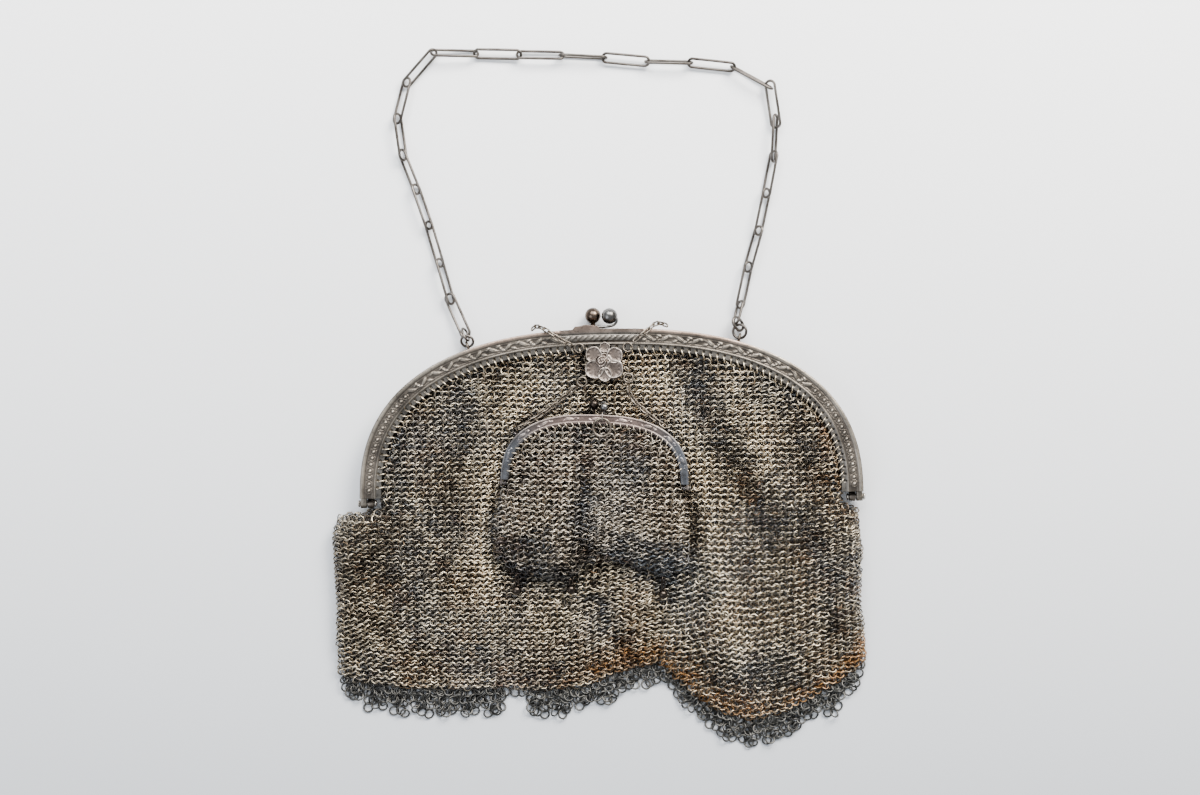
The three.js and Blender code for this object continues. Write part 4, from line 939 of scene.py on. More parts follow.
def along_folds(x, y, which):
    """The sum over the folds of their height (2) or their tone (3), which is painted light and shade."""
    total = np.zeros(np.shape(x))
    for fold in BAG_FOLDS:
        line, half = np.array(fold[0][::-1], float), fold[1]
        centre = np.interp(y, line[:, 1], line[:, 0]) + 0.8 * soft_noise(y, y * 0, 22, 3)
        shown = smooth_step(y, line[0, 1] - 9, line[0, 1] + 5) * (
            1 - smooth_step(y, line[-1, 1] - 5, line[-1, 1] + 9))
        total = total + fold[which] * shown * np.exp(-((x - centre) / (half * 0.75)) ** 2)
    return total


def bag_fold_height(x, y):
    total = along_folds(x, y, 2)
    warp = x + 3.5 * soft_noise(x, y, 22, 11)
    gather = np.sin(warp / 11.5 * 2 * math.pi + 0.6 * soft_noise(x, y, 30, 12))
    total = total + 0.35 * gather * (0.45 + 0.55 * soft_noise(x, y, 26, 13))
    return total + 0.15 * soft_noise(x, y, 7, 14)


def inset_from_arch(sizes, x, y):
    _, points, _ = sizes["line"]
    sparse = points[::24]
    best = np.full(np.shape(x), 1e9)
    for px, py in sparse:
        best = np.minimum(best, np.hypot(x - px, y - py))
    return best


def field_of(function, field):
    """A function of x and y worked out once on a field's own grid."""
    xs, ys = np.meshgrid(field["x"], field["y"], indexing="ij")
    return {**field, "z": function(xs, ys)}


coin_loop = outline_of("coin_bag", lambda points: to_coin(points))
ATTACHED = ["coin_chain_left", "coin_chain_right", "coin_drop_1", "coin_drop_2", "coin_drop_3",
            "coin_clasp_left", "coin_clasp_right", "flower_plaque",
            "plaque_ring_1", "plaque_ring_2", "plaque_ring_3", "plaque_ring_4"]


def from_attached(x, y):
    """How far points are from the small pieces that lie on the bag."""
    nearest = np.full(np.shape(x), 1e9)
    for node in ATTACHED:
        points = millimetres(np.array([v.co for v in nodes[node].data.vertices]))[::7]
        for px, py in points[:, :2]:
            nearest = np.minimum(nearest, np.hypot(x - px, y - py))
    return nearest


def loaded(x, y):
    """1 where something lies on the bag, down to 0 a few millimetres from it."""
    in_coin = to_coin(np.stack([x, y, 0 * x], -1))
    cx, cy = in_coin[..., 0], in_coin[..., 1]
    outside = np.where(within(cx, cy, coin_loop), 0, edge_distance(cx, cy, coin_loop))
    outside = np.where(within(cx, cy, COIN["line"][1][::60]), 0, outside)
    return 1 - smooth_step(np.minimum(outside, from_attached(x, y)), 2.0, 6.0)


def bag_centre_height(x, y):
    """The height of the ring centres of the bag's front."""
    top = height_at(bag_field, x, y)
    away = edge_distance(x, y, bag_loop, lambda ax, ay, bx, by: (ay + by) / 2 < -3.2)
    inside = within(x, y, bag_loop)
    away = np.where(inside, away, 0)
    inset = np.where(y > -2, inset_from_arch(MAIN, x, y), 30)
    fade = smooth_step(away, 1, 9) * smooth_step(inset, 7.6, 15)
    load = loaded(x, y)
    fold = bag_fold_height(x, y) * fade
    fold = fold * (1 - load) + np.minimum(fold * 0.4, -0.35) * load
    folded = top - 1.0 + fold
    rolled = np.sqrt(np.clip(1 - (1 - np.clip(away / 4.5, 0, 1)) ** 2, 0, 1))
    body = 1.9 + (folded - 1.9) * rolled
    tucked = np.minimum(body, 7.15 + np.clip(inset - 7.6, 0, 3) * 0.42)
    return np.where(y > -2, tucked, body)


centre_field = field_of(bag_centre_height, bag_field)
bag_height = lambda x, y: height_at(centre_field, x, y)
ROW_TOP = 52.6
upper_rows = [lambda x, y=ROW_TOP - i * ROW_STEP: np.full(np.shape(x), y) for i in range(55)]
fan_top = ROW_TOP - 55 * ROW_STEP
LOWER_ROWS = 64


def lower_row(number):
    def row(x):
        reach = np.clip(x, bag_loop[:, 0].min() + 2.5, bag_loop[:, 0].max() - 2.5)
        low = hem_height(bag_loop, reach) + 1.2
        return fan_top + (low - fan_top) * number / (LOWER_ROWS - 1)
    return row


bag_rows = upper_rows + [lower_row(i) for i in range(LOWER_ROWS)]
x_low, x_high = bag_loop[:, 0].min() - 2, bag_loop[:, 0].max() + 2
bag_places = lattice(bag_rows, (x_low, x_high), bag_height, RING_PITCH)
px, py = bag_places[:, 0], bag_places[:, 1]
in_bag = within(px, py, bag_loop) & ~((py < -4) & (edge_distance(px, py, bag_loop) < 0.9))
under_plate = (py > 1.2) & (np.abs(px) < 82) & (inset_from_arch(MAIN, px, py) > 6.7) & (py < 53)
under_plate &= within(px, py, MAIN["line"][1][::40])
bag_places = bag_places[in_bag | under_plate]

# Zones of the bag's front: centre, half sizes and how much darker they are. The dark zones hold tarnish with
# painted shade of the folds, and the two narrow ones by the coin purse's sides are painted shadow; the pale
# zones are paler metal with painted light.
TARNISH_AND_SHADE_ZONES = [
    (-80, -28, 22, 36, 0.16), (50, -66, 24, 7, 0.5), (-10, -62, 30, 7, 0.3),
    (-30, 45, 26, 6, 0.25), (70, 36, 9, 8, 0.3),
    (62, -12, 20, 22, 0.2),
    (-66, 28, 9, 12, 0.2), (-84, -12, 14, 30, 0.22), (84, -25, 6, 30, 0.2),
    (-33, 12, 4, 14, 0.35), (30, -4, 3, 12, 0.3),
]
PALE_AND_LIT_ZONES = [(-20, 34, 9, 9, 0.3), (-45, -14, 12, 10, 0.2), (13, 38, 12, 13, 0.4), (-14, 36, 12, 8, 0.25)]
RUST_ZONES = [
    (80, -60, 10, 9, 0.5), (76, 26, 6, 20, 0.7), (84, -45, 5, 14, 0.5),
    (-60, -64, 24, 4, 0.3), (60, 44, 14, 5, 0.35),
    (-70, 30, 10, 12, 0.2),
]


def zoned(x, y, zones):
    total = np.zeros(np.shape(x))
    for cx, cy, wide, tall, amount in zones:
        total = total + amount * np.exp(-((x - cx) / wide) ** 2 - ((y - cy) / tall) ** 2)
    return total


def ring_features(x, y, random, base=0.54, dark=True):
    count = len(x)
    tone = base + random.normal(0, 0.24, count) + 0.07 * soft_noise(x, y, 9, 21)
    if dark:
        # Tarnish together with painted light and shade of the zones and folds
        tone = tone - zoned(x, y, TARNISH_AND_SHADE_ZONES) + zoned(x, y, PALE_AND_LIT_ZONES) + along_folds(x, y, 3)
    from_hem = edge_distance(x, y, bag_loop, lambda ax, ay, bx, by: (ay + by) / 2 < -54)
    hem_stain = 0.95 * np.exp(-(from_hem / 7) ** 2) * smooth_step(x, -55, 5) if dark else 0
    rust = (zoned(x, y, RUST_ZONES) + hem_stain) * (
        0.6 + 0.6 * soft_noise(x, y, 4, 22)) + 0.16 * soft_noise(x, y, 12, 23)
    rust = rust + random.normal(0, 0.12, count)
    cool = 0.25 * soft_noise(x, y, 16, 24) + 0.12 + random.normal(0, 0.08, count)
    return {"tone": np.clip(tone, 0.03, 1), "stain": np.clip(rust, 0, 0.85), "cool": np.clip(cool, 0, 0.5)}


random = np.random.default_rng(41)
swing = -0.17 * np.exp(-((bag_places[:, 0] - 40) / 12) ** 2 - ((bag_places[:, 1] - 5) / 20) ** 2)
swing = swing + 0.25 * np.exp(-((bag_places[:, 0] + 74) / 12) ** 2 - ((bag_places[:, 1] - 26) / 16) ** 2)
centres, u_axis, v_axis = woven(bag_places, bag_height, RING_LEAN, RING_TWIST, 0.19, random, swing=swing)
features = ring_features(centres[:, 0], centres[:, 1], random)
# Painted shadow of the coin purse along its outline, and painted contact shade round the small pieces that
# lie on the bag
in_coin = to_coin(centres)
shade = np.exp(-(edge_distance(in_coin[:, 0], in_coin[:, 1], coin_loop) / 2.6) ** 2) * (in_coin[:, 1] < 2)
painted_contact_shade = np.exp(-(np.maximum(from_attached(centres[:, 0], centres[:, 1]) - 0.8, 0) / 1.3) ** 2)
features["tone"] = np.clip(features["tone"] - 0.45 * shade - 0.4 * painted_contact_shade, 0.03, 1)
ring_pattern = taken_apart(link_shape(RING_SIZE, RING_SIZE, RING_WIRE, 8, 3))
left = centres[:, 0] < -4.3
for chosen, name in ((left, "left"), (~left, "right")):
    rings = copies(
        f"front_rings_{name}", ring_pattern, centres[chosen], u_axis[chosen], v_axis[chosen],
        {key: values[chosen] for key, values in features.items()},
    )
    tarnish_and_shade_weave(rings, centres[chosen])
    made(rings, f"front_rings_{name}", mesh_wire, "ring_mesh", "mesh_bag_front")

# Back of the bag: the same cloth, lying flat on what the purse lies on
BACK_HEIGHT = 0.98
flat_height = lambda x, y: np.full(np.shape(x), BACK_HEIGHT)
back_rows = upper_rows + [lower_row(i) for i in range(LOWER_ROWS)]
back_places = lattice(back_rows, (x_low, x_high), flat_height, RING_PITCH)
bx, by = back_places[:, 0], back_places[:, 1]
keep = within(bx, by, bag_loop) & (edge_distance(bx, by, bag_loop) > 0.9)
back_places = back_places[keep]
centres, u_axis, v_axis = woven(
    back_places, flat_height, math.radians(27), RING_TWIST * 0.6, 0.05, random, 0.0, 0.0)
centres[:, 2] = BACK_HEIGHT
features = ring_features(centres[:, 0], centres[:, 1], random, 0.5, False)
back_pattern = taken_apart(link_shape(RING_SIZE, RING_SIZE, RING_WIRE, 6, 3))
left = centres[:, 0] < -4.3
for chosen, name in ((left, "left"), (~left, "right")):
    rings = copies(
        f"back_rings_{name}", back_pattern, centres[chosen], u_axis[chosen], v_axis[chosen],
        {key: values[chosen] for key, values in features.items()},
    )
    # Painted shade on the back sheet's upper side, which is seen through the gaps of the front
    tarnish_and_shade_weave(rings, centres[chosen], -1)
    made(rings, f"back_rings_{name}", mesh_wire, "ring_mesh", "mesh_bag_back")

# Stitch rings: one through each hole of the frame's plate and round its inner edge
ex, ey, out = on_arch(MAIN, hole_arcs, np.full(len(hole_arcs), 7.45))
keep = (ey > 1.5)
ex, ey, ox, oy = ex[keep], ey[keep], out[0][keep], out[1][keep]
slant = -0.45 + random.normal(0, 0.1, len(ex))
mixed_x, mixed_y = ox, np.maximum(oy, 0.35)
size = np.hypot(mixed_x, mixed_y)
mixed_x, mixed_y = mixed_x / size, mixed_y / size
ax = mixed_x * np.cos(slant) + mixed_y * np.sin(slant)
ay = -mixed_x * np.sin(slant) + mixed_y * np.cos(slant)
stitch_along = np.stack([ax, ay, np.zeros(len(ax))], -1)
stitch_up = np.repeat([[0, 0, 1.0]], len(ax), 0)
stitch_centres = np.stack([ex, ey, np.full(len(ex), 8.95)], -1)
stitch_pattern = taken_apart(link_shape(3.0, 3.0, 0.46, 12, 4))
stitches = copies(
    "stitch_rings", stitch_pattern, stitch_centres, stitch_along, stitch_up,
    {"tone": np.clip(random.normal(0.85, 0.12, len(ex)), 0, 1),
     "stain": np.clip(random.normal(0, 0.1, len(ex)), 0, 1),
     "cool": np.full(len(ex), 0.05)},
)
made(stitches, "stitch_rings", mesh_wire, "ring_mesh")


# Fringe of loose rings along the hem

def hem_line(loop):
    """The lower part of an outline from left to right, evenly spaced."""
    xs = np.linspace(loop[:, 0].min() + 3, loop[:, 0].max() - 3, 700)
    ys = hem_height(loop, xs)
    length = np.concatenate([[0], np.cumsum(np.hypot(np.diff(xs), np.diff(ys)))])
    return xs, ys, length


LOCK_LENGTHS = [
    0.8, 1, 0.95, 1, 0.9, 1, 0.95, 0.4, 0.95, 1, 0.85, 0.9, 0.7, 0.75, 0.65, 0.85,
    0.8, 1.1, 1.1, 1.05, 1, 0.8, 0.9, 0.75,
]
hem_x, hem_y, hem_length = hem_line(bag_loop)
fringe_centres, fringe_along, fringe_across = [], [], []
fringe_random = np.random.default_rng(77)
locks = len(LOCK_LENGTHS)
lock_span = hem_length[-1] / locks
for lock, share in enumerate(LOCK_LENGTHS):
    reach = share * 11.6 - 2.0
    middle = (lock + 0.5) * lock_span
    rows = max(1, int(round(reach / 2.4)))
    for row in range(rows):
        depth = row / max(rows - 1, 1)
        total = [7, 6, 5, 4][min(row, 3)] if row < rows - 1 else 3
        for k in range(total):
            offset = ((k + 0.5) / total - 0.5) * (lock_span * (1.04 - 0.3 * depth))
            at = np.clip(middle + offset, 0.5, hem_length[-1] - 0.5)
            fx = np.interp(at, hem_length, hem_x)
            fy = np.interp(at, hem_length, hem_y)
            fx += fringe_random.normal(0, 0.4)
            fy += -0.7 - row * 2.35 + fringe_random.normal(0, 0.5)
            tilt = fringe_random.normal(0.34, 0.16) * (1 if (row + k) % 2 else -1)
            roll = fringe_random.normal(0, 0.3)
            spin = fringe_random.uniform(-0.5, 0.5)
            turn = (Matrix.Rotation(spin, 3, "Z") @ Matrix.Rotation(tilt, 3, "X")
                    @ Matrix.Rotation(roll, 3, "Y"))
            sink = abs(math.sin(tilt)) * 1.68 + abs(math.sin(roll)) * 0.8 + 0.26
            fringe_centres.append((fx, fy, min(max(sink, 0.5 + 0.12 * (k % 3)), 1.7)))
            fringe_along.append(turn @ Vector((1, 0, 0)))
            fringe_across.append(turn @ Vector((0, 1, 0)))
fringe_pattern = taken_apart(link_shape(3.8, 3.8, 0.66, 12, 4))
fringe = copies("hem_fringe", fringe_pattern, fringe_centres, np.array(fringe_along), np.array(fringe_across))
fringe_points = points_of(fringe)
low, high = (cad_bounds[0], cad_bounds[1])
fringe_points[:, 2] = np.maximum(fringe_points[:, 2], 0.00002)
fringe_points[:, 1] = np.maximum(fringe_points[:, 1], low.y)
fringe_points[:, 0] = np.clip(fringe_points[:, 0], low.x, high.x)
set_points(fringe, fringe_points)
made(fringe, "hem_fringe", fringe_wire, "fringe_rings", "ring_fringe")


# Handle chain

def lie_of(node):
    """A link's centre and its long and wide directions, from the CAD link."""
    points = millimetres(np.unique(np.array([v.co for v in nodes[node].data.vertices]).round(7), axis=0))
    centre = points.mean(0)
    values, axes = np.linalg.eigh(np.cov((points - centre).T))
    return centre, axes[:, 2], axes[:, 1]


LINK_KINDS = {
    "long": (17.45, 4.3, 0.95), "short": (9.4, 4.3, 0.95), "chain_ring_left": (5.2, 5.2, 0.9),
    "jump_ring_left": (5.6, 4.4, 0.8), "jump_ring_right": (6.2, 4.9, 1.0),
    "chain_ring_right": (5.8, 5.8, 1.0),
}


def smooth_link(node, name, kind):
    centre, along, across = lie_of(node)
    pattern = taken_apart(link_shape(*LINK_KINDS[kind], 36, 12))
    obj = copies(name, pattern, [centre], [along], [across])
    made(obj, name, chain_wire, "chain_wire", node)


for number in range(1, 24):
    node = f"handle_link_{number:02d}"
    smooth_link(node, f"wire_link_{number:02d}", "short" if number == 23 else "long")
for node in ("chain_ring_left", "jump_ring_left", "jump_ring_right", "chain_ring_right"):
    smooth_link(node, f"wire_{node}", node)


# Clasp

def ball_outline(radius, neck, foot, foot_height, rise):
    """The outline of a ball on a neck: a foot, a neck that swells into the ball, and a round top."""
    outline = []
    if foot:
        outline += [(foot * 0.8, 0.0), (foot, 0.1), (foot, foot_height - 0.12), (foot * 0.85, foot_height)]
    else:
        outline += [(neck / 2 * 0.9, 0.0)]
    start = math.acos(min(0.99, neck / 2 / radius))
    base = rise - radius * math.sin(start)
    outline += [(neck / 2, foot_height + 0.05), (neck / 2 * 0.98, (foot_height + base) / 2)]
    for i in range(15):
        turn = -start + (start + math.pi / 2) * i / 14
        outline.append((max(radius * math.cos(turn), radius * 0.04), rise + radius * math.sin(turn)))
    return outline


low, high = (millimetres(np.array(c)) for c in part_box("clasp_ball_left"))
ball = turned(
    ball_outline(2.8, 1.7, 1.4, 0.6, high[1] - low[1] - 2.8), 32,
    ((low[0] + high[0]) / 2, low[1], (low[2] + high[2]) / 2), (0, 1, 0),
)
made(ball, "turned_clasp_ball_left", dark_polish, "polished_metal", "clasp_ball_left")

low, high = (millimetres(np.array(c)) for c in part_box("clasp_ball_right"))
centre = np.array([0.17, high[1] - 2.8, (low[2] + high[2]) / 2])
free_of_selection()
bpy.ops.mesh.primitive_uv_sphere_add(segments=32, ring_count=20, radius=2.8)
ball = new_object()
set_points(ball, metres(points_of(ball) + centre))


def swept_strip(path, width, thickness, centre_z, steps=28):
    """A flat strip that is bent along a path in the plane of X and Y."""
    path = np.asarray(path, float)
    t = np.linspace(0, len(path) - 1, steps)
    points = np.stack([catmull(path, value) for value in t])
    ahead = np.gradient(points, axis=0)
    across = np.stack([ahead[:, 1], -ahead[:, 0]], -1)
    across /= np.linalg.norm(across, axis=1)[:, None]
    free_of_selection()
    bpy.ops.mesh.primitive_grid_add(x_subdivisions=12, y_subdivisions=steps - 1, size=2)
    obj = new_object()
    grid = points_of(obj)
    column = np.rint((grid[:, 0] + 1) * 6).astype(int) % 12
    row = np.rint((grid[:, 1] + 1) / 2 * (steps - 1)).astype(int)
    turn = column / 12 * 2 * math.pi
    flat = np.sign(np.cos(turn)) * np.abs(np.cos(turn)) ** 0.6 * thickness / 2
    tall = np.sign(np.sin(turn)) * np.abs(np.sin(turn)) ** 0.6 * width / 2
    plane = points[row] + across[row] * flat[:, None]
    set_points(obj, metres(np.concatenate([plane, (centre_z + tall)[:, None]], 1)))
    bpy.ops.object.mode_set(mode="EDIT")
    bpy.ops.mesh.select_all(action="SELECT")
    bpy.ops.mesh.remove_doubles(threshold=1e-7)
    bpy.ops.mesh.select_all(action="SELECT")
    bpy.ops.mesh.fill_holes(sides=0)
    bpy.ops.mesh.select_all(action="SELECT")
    bpy.ops.mesh.normals_make_consistent(inside=False)
    bpy.ops.object.mode_set(mode="OBJECT")
    return obj


def catmull(path, t):
    """A point on a smooth line through points."""
    i = min(int(t), len(path) - 2)
    f = t - i
    p0, p1, p2, p3 = (path[max(0, min(len(path) - 1, i + k))] for k in (-1, 0, 1, 2))
    return 0.5 * (
        2 * p1 + (p2 - p0) * f + (2 * p0 - 5 * p1 + 4 * p2 - p3) * f * f
        + (3 * p1 - p0 - 3 * p2 + p3) * f ** 3
    )


base = centre[1] - 4.5 + GAP + 0.45
arm = swept_strip(
    [(0.17 - 5.2, base), (0.17 - 2.6, base), (0.17 + 1.07, base + 0.45), (0.17 + 2.56, centre[1] - 1.79),
     (0.17 + 1.98, centre[1])], 1.5, 0.9, centre[2],
)
made(joined([ball, arm]), "clasp_ball_right_on_arm", pale_polish, "polished_metal", "clasp_ball_right")


# Small chains

def chain_of_links(name, route, length, width, wire, pitch, node):
    route = np.asarray(route, float)
    t = np.linspace(0, len(route) - 1, 400)
    points = np.stack([catmull(route, value) for value in t])
    run = np.concatenate([[0], np.cumsum(np.linalg.norm(np.diff(points, axis=0), axis=1))])
    count = max(2, int(round((run[-1] - length) / pitch)) + 1)
    middles = np.linspace(length / 2, run[-1] - length / 2, count)
    centres = np.stack([np.interp(middles, run, points[:, i]) for i in range(3)], -1)
    ahead = np.stack([np.interp(middles + 0.5, run, points[:, i]) for i in range(3)], -1)
    behind = np.stack([np.interp(middles - 0.5, run, points[:, i]) for i in range(3)], -1)
    along = ahead - behind
    along /= np.linalg.norm(along, axis=1)[:, None]
    side = np.cross([[0, 0, 1.0]], along)
    side /= np.linalg.norm(side, axis=1)[:, None]
    up = np.cross(along, side)
    roll = np.where(np.arange(count) % 2, 0.9, -0.5) + np.random.default_rng(5).normal(0, 0.15, count)
    across = side * np.cos(roll)[:, None] + up * np.sin(roll)[:, None]
    pattern = taken_apart(link_shape(length, width, wire, 14, 6))
    obj = copies(name, pattern, centres, along, across)
    made(obj, name, small_wire, "chain_wire", node)


SMALL_CHAINS = {
    "safety_chain_left": [
        (-12.8, 52.9, 11.5), (-17.2, 55.2, 11.7), (-21.6, 58.2, 11.3), (-25, 59.8, 8.4), (-27.3, 58.8, 5.4)],
    "safety_chain_right": [
        (8.1, 53.8, 11.6), (12.4, 57.2, 11.6), (16.4, 60.2, 9.4), (19.2, 60, 6.4), (20.6, 59.3, 5)],
    "coin_chain_left": [
        (-11.4, 38.8, 11.3), (-13.4, 37.3, 11.2), (-21.8, 30.6, 11.2), (-29.4, 26, 11.5), (-32.7, 24.2, 11.7),
    ],
    "coin_chain_right": [
        (6.2, 39, 11.3), (7.7, 34.4, 11.2), (12.1, 29.8, 11.2), (16.4, 26.2, 11.4), (19.6, 23.9, 11.4),
    ],
}
for node, route in SMALL_CHAINS.items():
    chain_of_links(f"{node}_links", route, 3.4, 1.85, 0.58, 2.3, node)

# Plaque rings
for number in range(1, 5):
    node = f"plaque_ring_{number}"
    low, high = (millimetres(np.array(c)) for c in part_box(node))
    middle = (low + high) / 2
    lean = [0.22, -0.2, 0.3, -0.25][number - 1]
    pattern = taken_apart(link_shape(3.7, 3.7, 0.55, 28, 10))
    along = Vector((1, 0, 0))
    across = Vector((0, math.cos(lean * 0.25), math.sin(lean * 0.25)))
    obj = copies(f"round_{node}", pattern, [middle], [along], [across])
    made(obj, f"round_{node}", small_wire, "chain_wire", node)


# Flower plaque

PETALS = [
    (0.0, 0.4, 2.8, -0.3), (0.3, 5.1, 1.9, 0.0), (-3.6, 2.6, 3.0, 0.1),
    (3.7, 2.2, 3.0, 0.15), (-3.4, -2.5, 3.5, 0.3),
    (3.4, -2.5, 3.5, 0.35), (0.2, -4.4, 2.6, 0.45),
]
BOSS = (-0.8, 0.2, 2.1)


def plaque_height(x, y):
    """The height of the flower over its underside, and how much each point stands up."""
    height = np.full(np.shape(x), -1.0)
    raised = np.zeros(np.shape(x))
    for cx, cy, radius, level in PETALS:
        away = np.hypot(x - cx, y - cy)
        angle = np.arctan2(y - cy, x - cx)
        out = np.arctan2(cy, cx)
        wavy = radius * (1 + 0.03 * np.cos(5 * (angle - out)))
        rim = np.exp(-((away - wavy * 0.86) / (0.1 * radius)) ** 2)
        veins = 0.08 * np.cos(9 * (angle - out)) * smooth_step(away, 0.3 * radius, 0.8 * radius)
        cup = 0.9 + level * 0.7 - 0.28 * (1 - (away / radius) ** 2) + 0.34 * rim + veins * (1 - rim)
        cup = cup - 0.5 * smooth_step(away / wavy, 0.93, 1.0)
        shown = (away <= wavy * 1.002) & (cup > height)
        height = np.where(shown, cup, height)
        raised = np.where(shown, 0.4 + 0.6 * rim + veins, raised)
    bx, by, radius = BOSS
    away = np.hypot(x - bx, y - by) / radius
    curls = 0.16 * np.cos(11 * away + 2 * np.arctan2(y - by, x - bx))
    curls = curls + 0.12 * np.cos(7 * x + 2) * np.cos(6.3 * y)
    knob = 1.35 + 0.75 * np.sqrt(np.clip(1 - away ** 2, 0, 1)) + curls * (away < 1)
    shown = (away < 1) & (knob > height)
    return np.where(shown, knob, height), np.where(shown, 0.45 + curls * 2.4, raised)


free_of_selection()
bpy.ops.mesh.primitive_grid_add(x_subdivisions=110, y_subdivisions=104, size=2)
plaque = new_object()
flat = points_of(plaque) * np.array([7.4, 7.6, 0]) + np.array([0, -0.1, 0])
set_points(plaque, flat)


def off_flower(points):
    return np.min([np.hypot(points[:, 0] - cx, points[:, 1] - cy) - r for cx, cy, r, _ in PETALS], axis=0)


edit_where(plaque, lambda points: off_flower(points) > 0.02)
bpy.ops.mesh.delete(type="VERT")
bpy.ops.mesh.select_all(action="SELECT")
bpy.ops.mesh.extrude_region_move(TRANSFORM_OT_translate={"value": (0, 0, 1)})
bpy.ops.mesh.select_all(action="SELECT")
bpy.ops.mesh.normals_make_consistent(inside=False)
bpy.ops.object.mode_set(mode="OBJECT")
points = points_of(plaque)
gap_out = off_flower(points)
for cx, cy, radius, _ in PETALS:
    away = np.hypot(points[:, 0] - cx, points[:, 1] - cy)
    edge = (gap_out > -0.09) & (np.abs(away - radius - gap_out) < 1e-6)
    stretch = radius / np.maximum(away, 1e-6)
    points[edge, 0] = cx + (points[edge, 0] - cx) * stretch[edge]
    points[edge, 1] = cy + (points[edge, 1] - cy) * stretch[edge]
upper = points[:, 2] > 0.5
height, raised = plaque_height(points[:, 0], points[:, 1])
height = np.where(height < 0, 0.45, height)
points[:, 2] = np.where(upper, height, 0.0)
flower_low = millimetres(np.array(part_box("flower_plaque")[0]))[2]
set_points(plaque, metres(points + np.array([-1.96, 47.14, flower_low])))
add_feature(plaque, "raised", np.where(upper, np.clip(raised, 0, 1), 0.2))
add_feature(plaque, "copper", np.where(upper, 0.15, 0))
add_feature(plaque, "cool", np.where(upper, 0.0, 0))
made(plaque, "cast_flower", plaque_metal, "cast_frame", "flower_plaque")


# Coin purse

COIN_FACE = np.concatenate([
    [0.0, 0.05, 0.14], np.arange(0.28, 2.3, 0.13), np.arange(2.36, 3.16, 0.11), [3.17]])


def coin_relief(u, v):
    middle = COIN["length"] / 2
    height = 0.25 * bump_at(v, 0.32, 0.38)
    height = np.maximum(height, 0.25 * bump_at(v, 2.6, 0.24))
    margin, count = 0.1, 9
    for i in range(count):
        centre = COIN["length"] * (margin + (1 - 2 * margin) * i / (count - 1))
        way = 1 if i % 2 else -1
        height = np.maximum(height, 0.3 * leaf(u, v, centre, 1.45, 3.3, 1.2, math.radians(12 * way)))
        height = np.maximum(height, 0.22 * dome(u, v, centre + 2.9, 1.45, 0.4))
        height = np.maximum(height, 0.2 * leaf(u, v, centre + 2.1, 1.15, 1.4, 0.5, math.radians(-35 * way)))
        height = np.maximum(height, 0.2 * leaf(u, v, centre - 2.1, 1.8, 1.4, 0.5, math.radians(-35 * way)))
    return height


def coin_insets(u):
    under = [3.2, 3.2, 3.1, 2.0, 0.8, 0.8, 0.7, 0.1, 0.0, 0.0]
    return np.repeat(np.concatenate([COIN_FACE, under])[None], len(u), 0)


def coin_heights(u):
    bed = COIN["base"] + COIN["depth"] - 0.25
    uu = np.repeat(u[:, None], len(COIN_FACE), 1)
    vv = np.repeat(COIN_FACE[None], len(u), 0)
    low = COIN["parting"] + GAP / 2
    under = [bed - 0.15, bed - 0.6, bed - 0.7, bed - 0.7, bed - 0.75,
             low + 0.08, low, low, low + 0.1, bed - 0.2]
    return np.concatenate([bed + coin_relief(uu, vv), np.repeat(np.array(under)[None], len(u), 0)], 1)


coin_front = arch_band(COIN, coin_insets, coin_heights, 560, from_coin)
place_u, place_v = place_on_band(coin_front)
over_bed = points_of(coin_front)[:, 2] * 1000 - (COIN["base"] + COIN["depth"] - 0.25)
add_feature(coin_front, "raised", np.clip(0.3 + over_bed * 2.6, 0, 1) * smooth_step(over_bed, -0.7, -0.4))
from_middle = np.abs(place_u / COIN["length"] - 0.5) * 2
add_feature(coin_front, "copper", 0.5 * (1 - smooth_step(from_middle, 0.25, 0.55)))
add_feature(coin_front, "cool", 0.75 * smooth_step(from_middle, 0.45, 0.75))
parts = [coin_front]
for side in (-1, 1):
    parts += [plain_features(knuckle(COIN, side, 1, from_coin)),
              plain_features(foot_block(COIN, side, 1, from_coin))]

# The long ear on the coin frame's face, which carries the pull ring
u = arc_at_x(COIN, 2)
ear_x, ear_y, _ = on_arch(COIN, np.array([u]), np.array([0.7]))
ear_centre = np.array([ear_x[0], ear_y[0], COIN["base"] + COIN["depth"] + 0.7])
pattern = taken_apart(link_shape(3.6, 2.9, 0.5, 24, 8))
long_ear = copies("long_ear", pattern, [ear_centre], [(0, 1.0, 0)], [(0, 0, 1.0)])
set_points(long_ear, metres(from_coin(millimetres(points_of(long_ear)))))
parts.append(plain_features(long_ear, 0.9))
made(joined(parts), "cast_coin_front", coin_metal, "cast_frame", "coin_frame_front")

parts = [back_band(COIN, 240, from_coin)]
place_on_band(parts[0])
for side in (-1, 1):
    parts += [knuckle(COIN, side, -1, from_coin), foot_block(COIN, side, -1, from_coin)]
for x in (-27.4, 24.6):
    parts.append(ear(COIN, x, COIN["base"] + COIN["depth"] / 4, from_coin))
for part in parts:
    plain_features(part, 0.55, 0.1, 0.35)
made(joined(parts), "cast_coin_back", coin_metal, "cast_frame", "coin_frame_back")
for side, name in ((-1, "left"), (1, "right")):
    pin = hinge_pin(COIN, side, 0.3, 0.8, 0.3, from_coin)
    made(pin, f"coin_pin_{name}", pin_metal, "polished_metal", f"coin_hinge_pin_{name}")

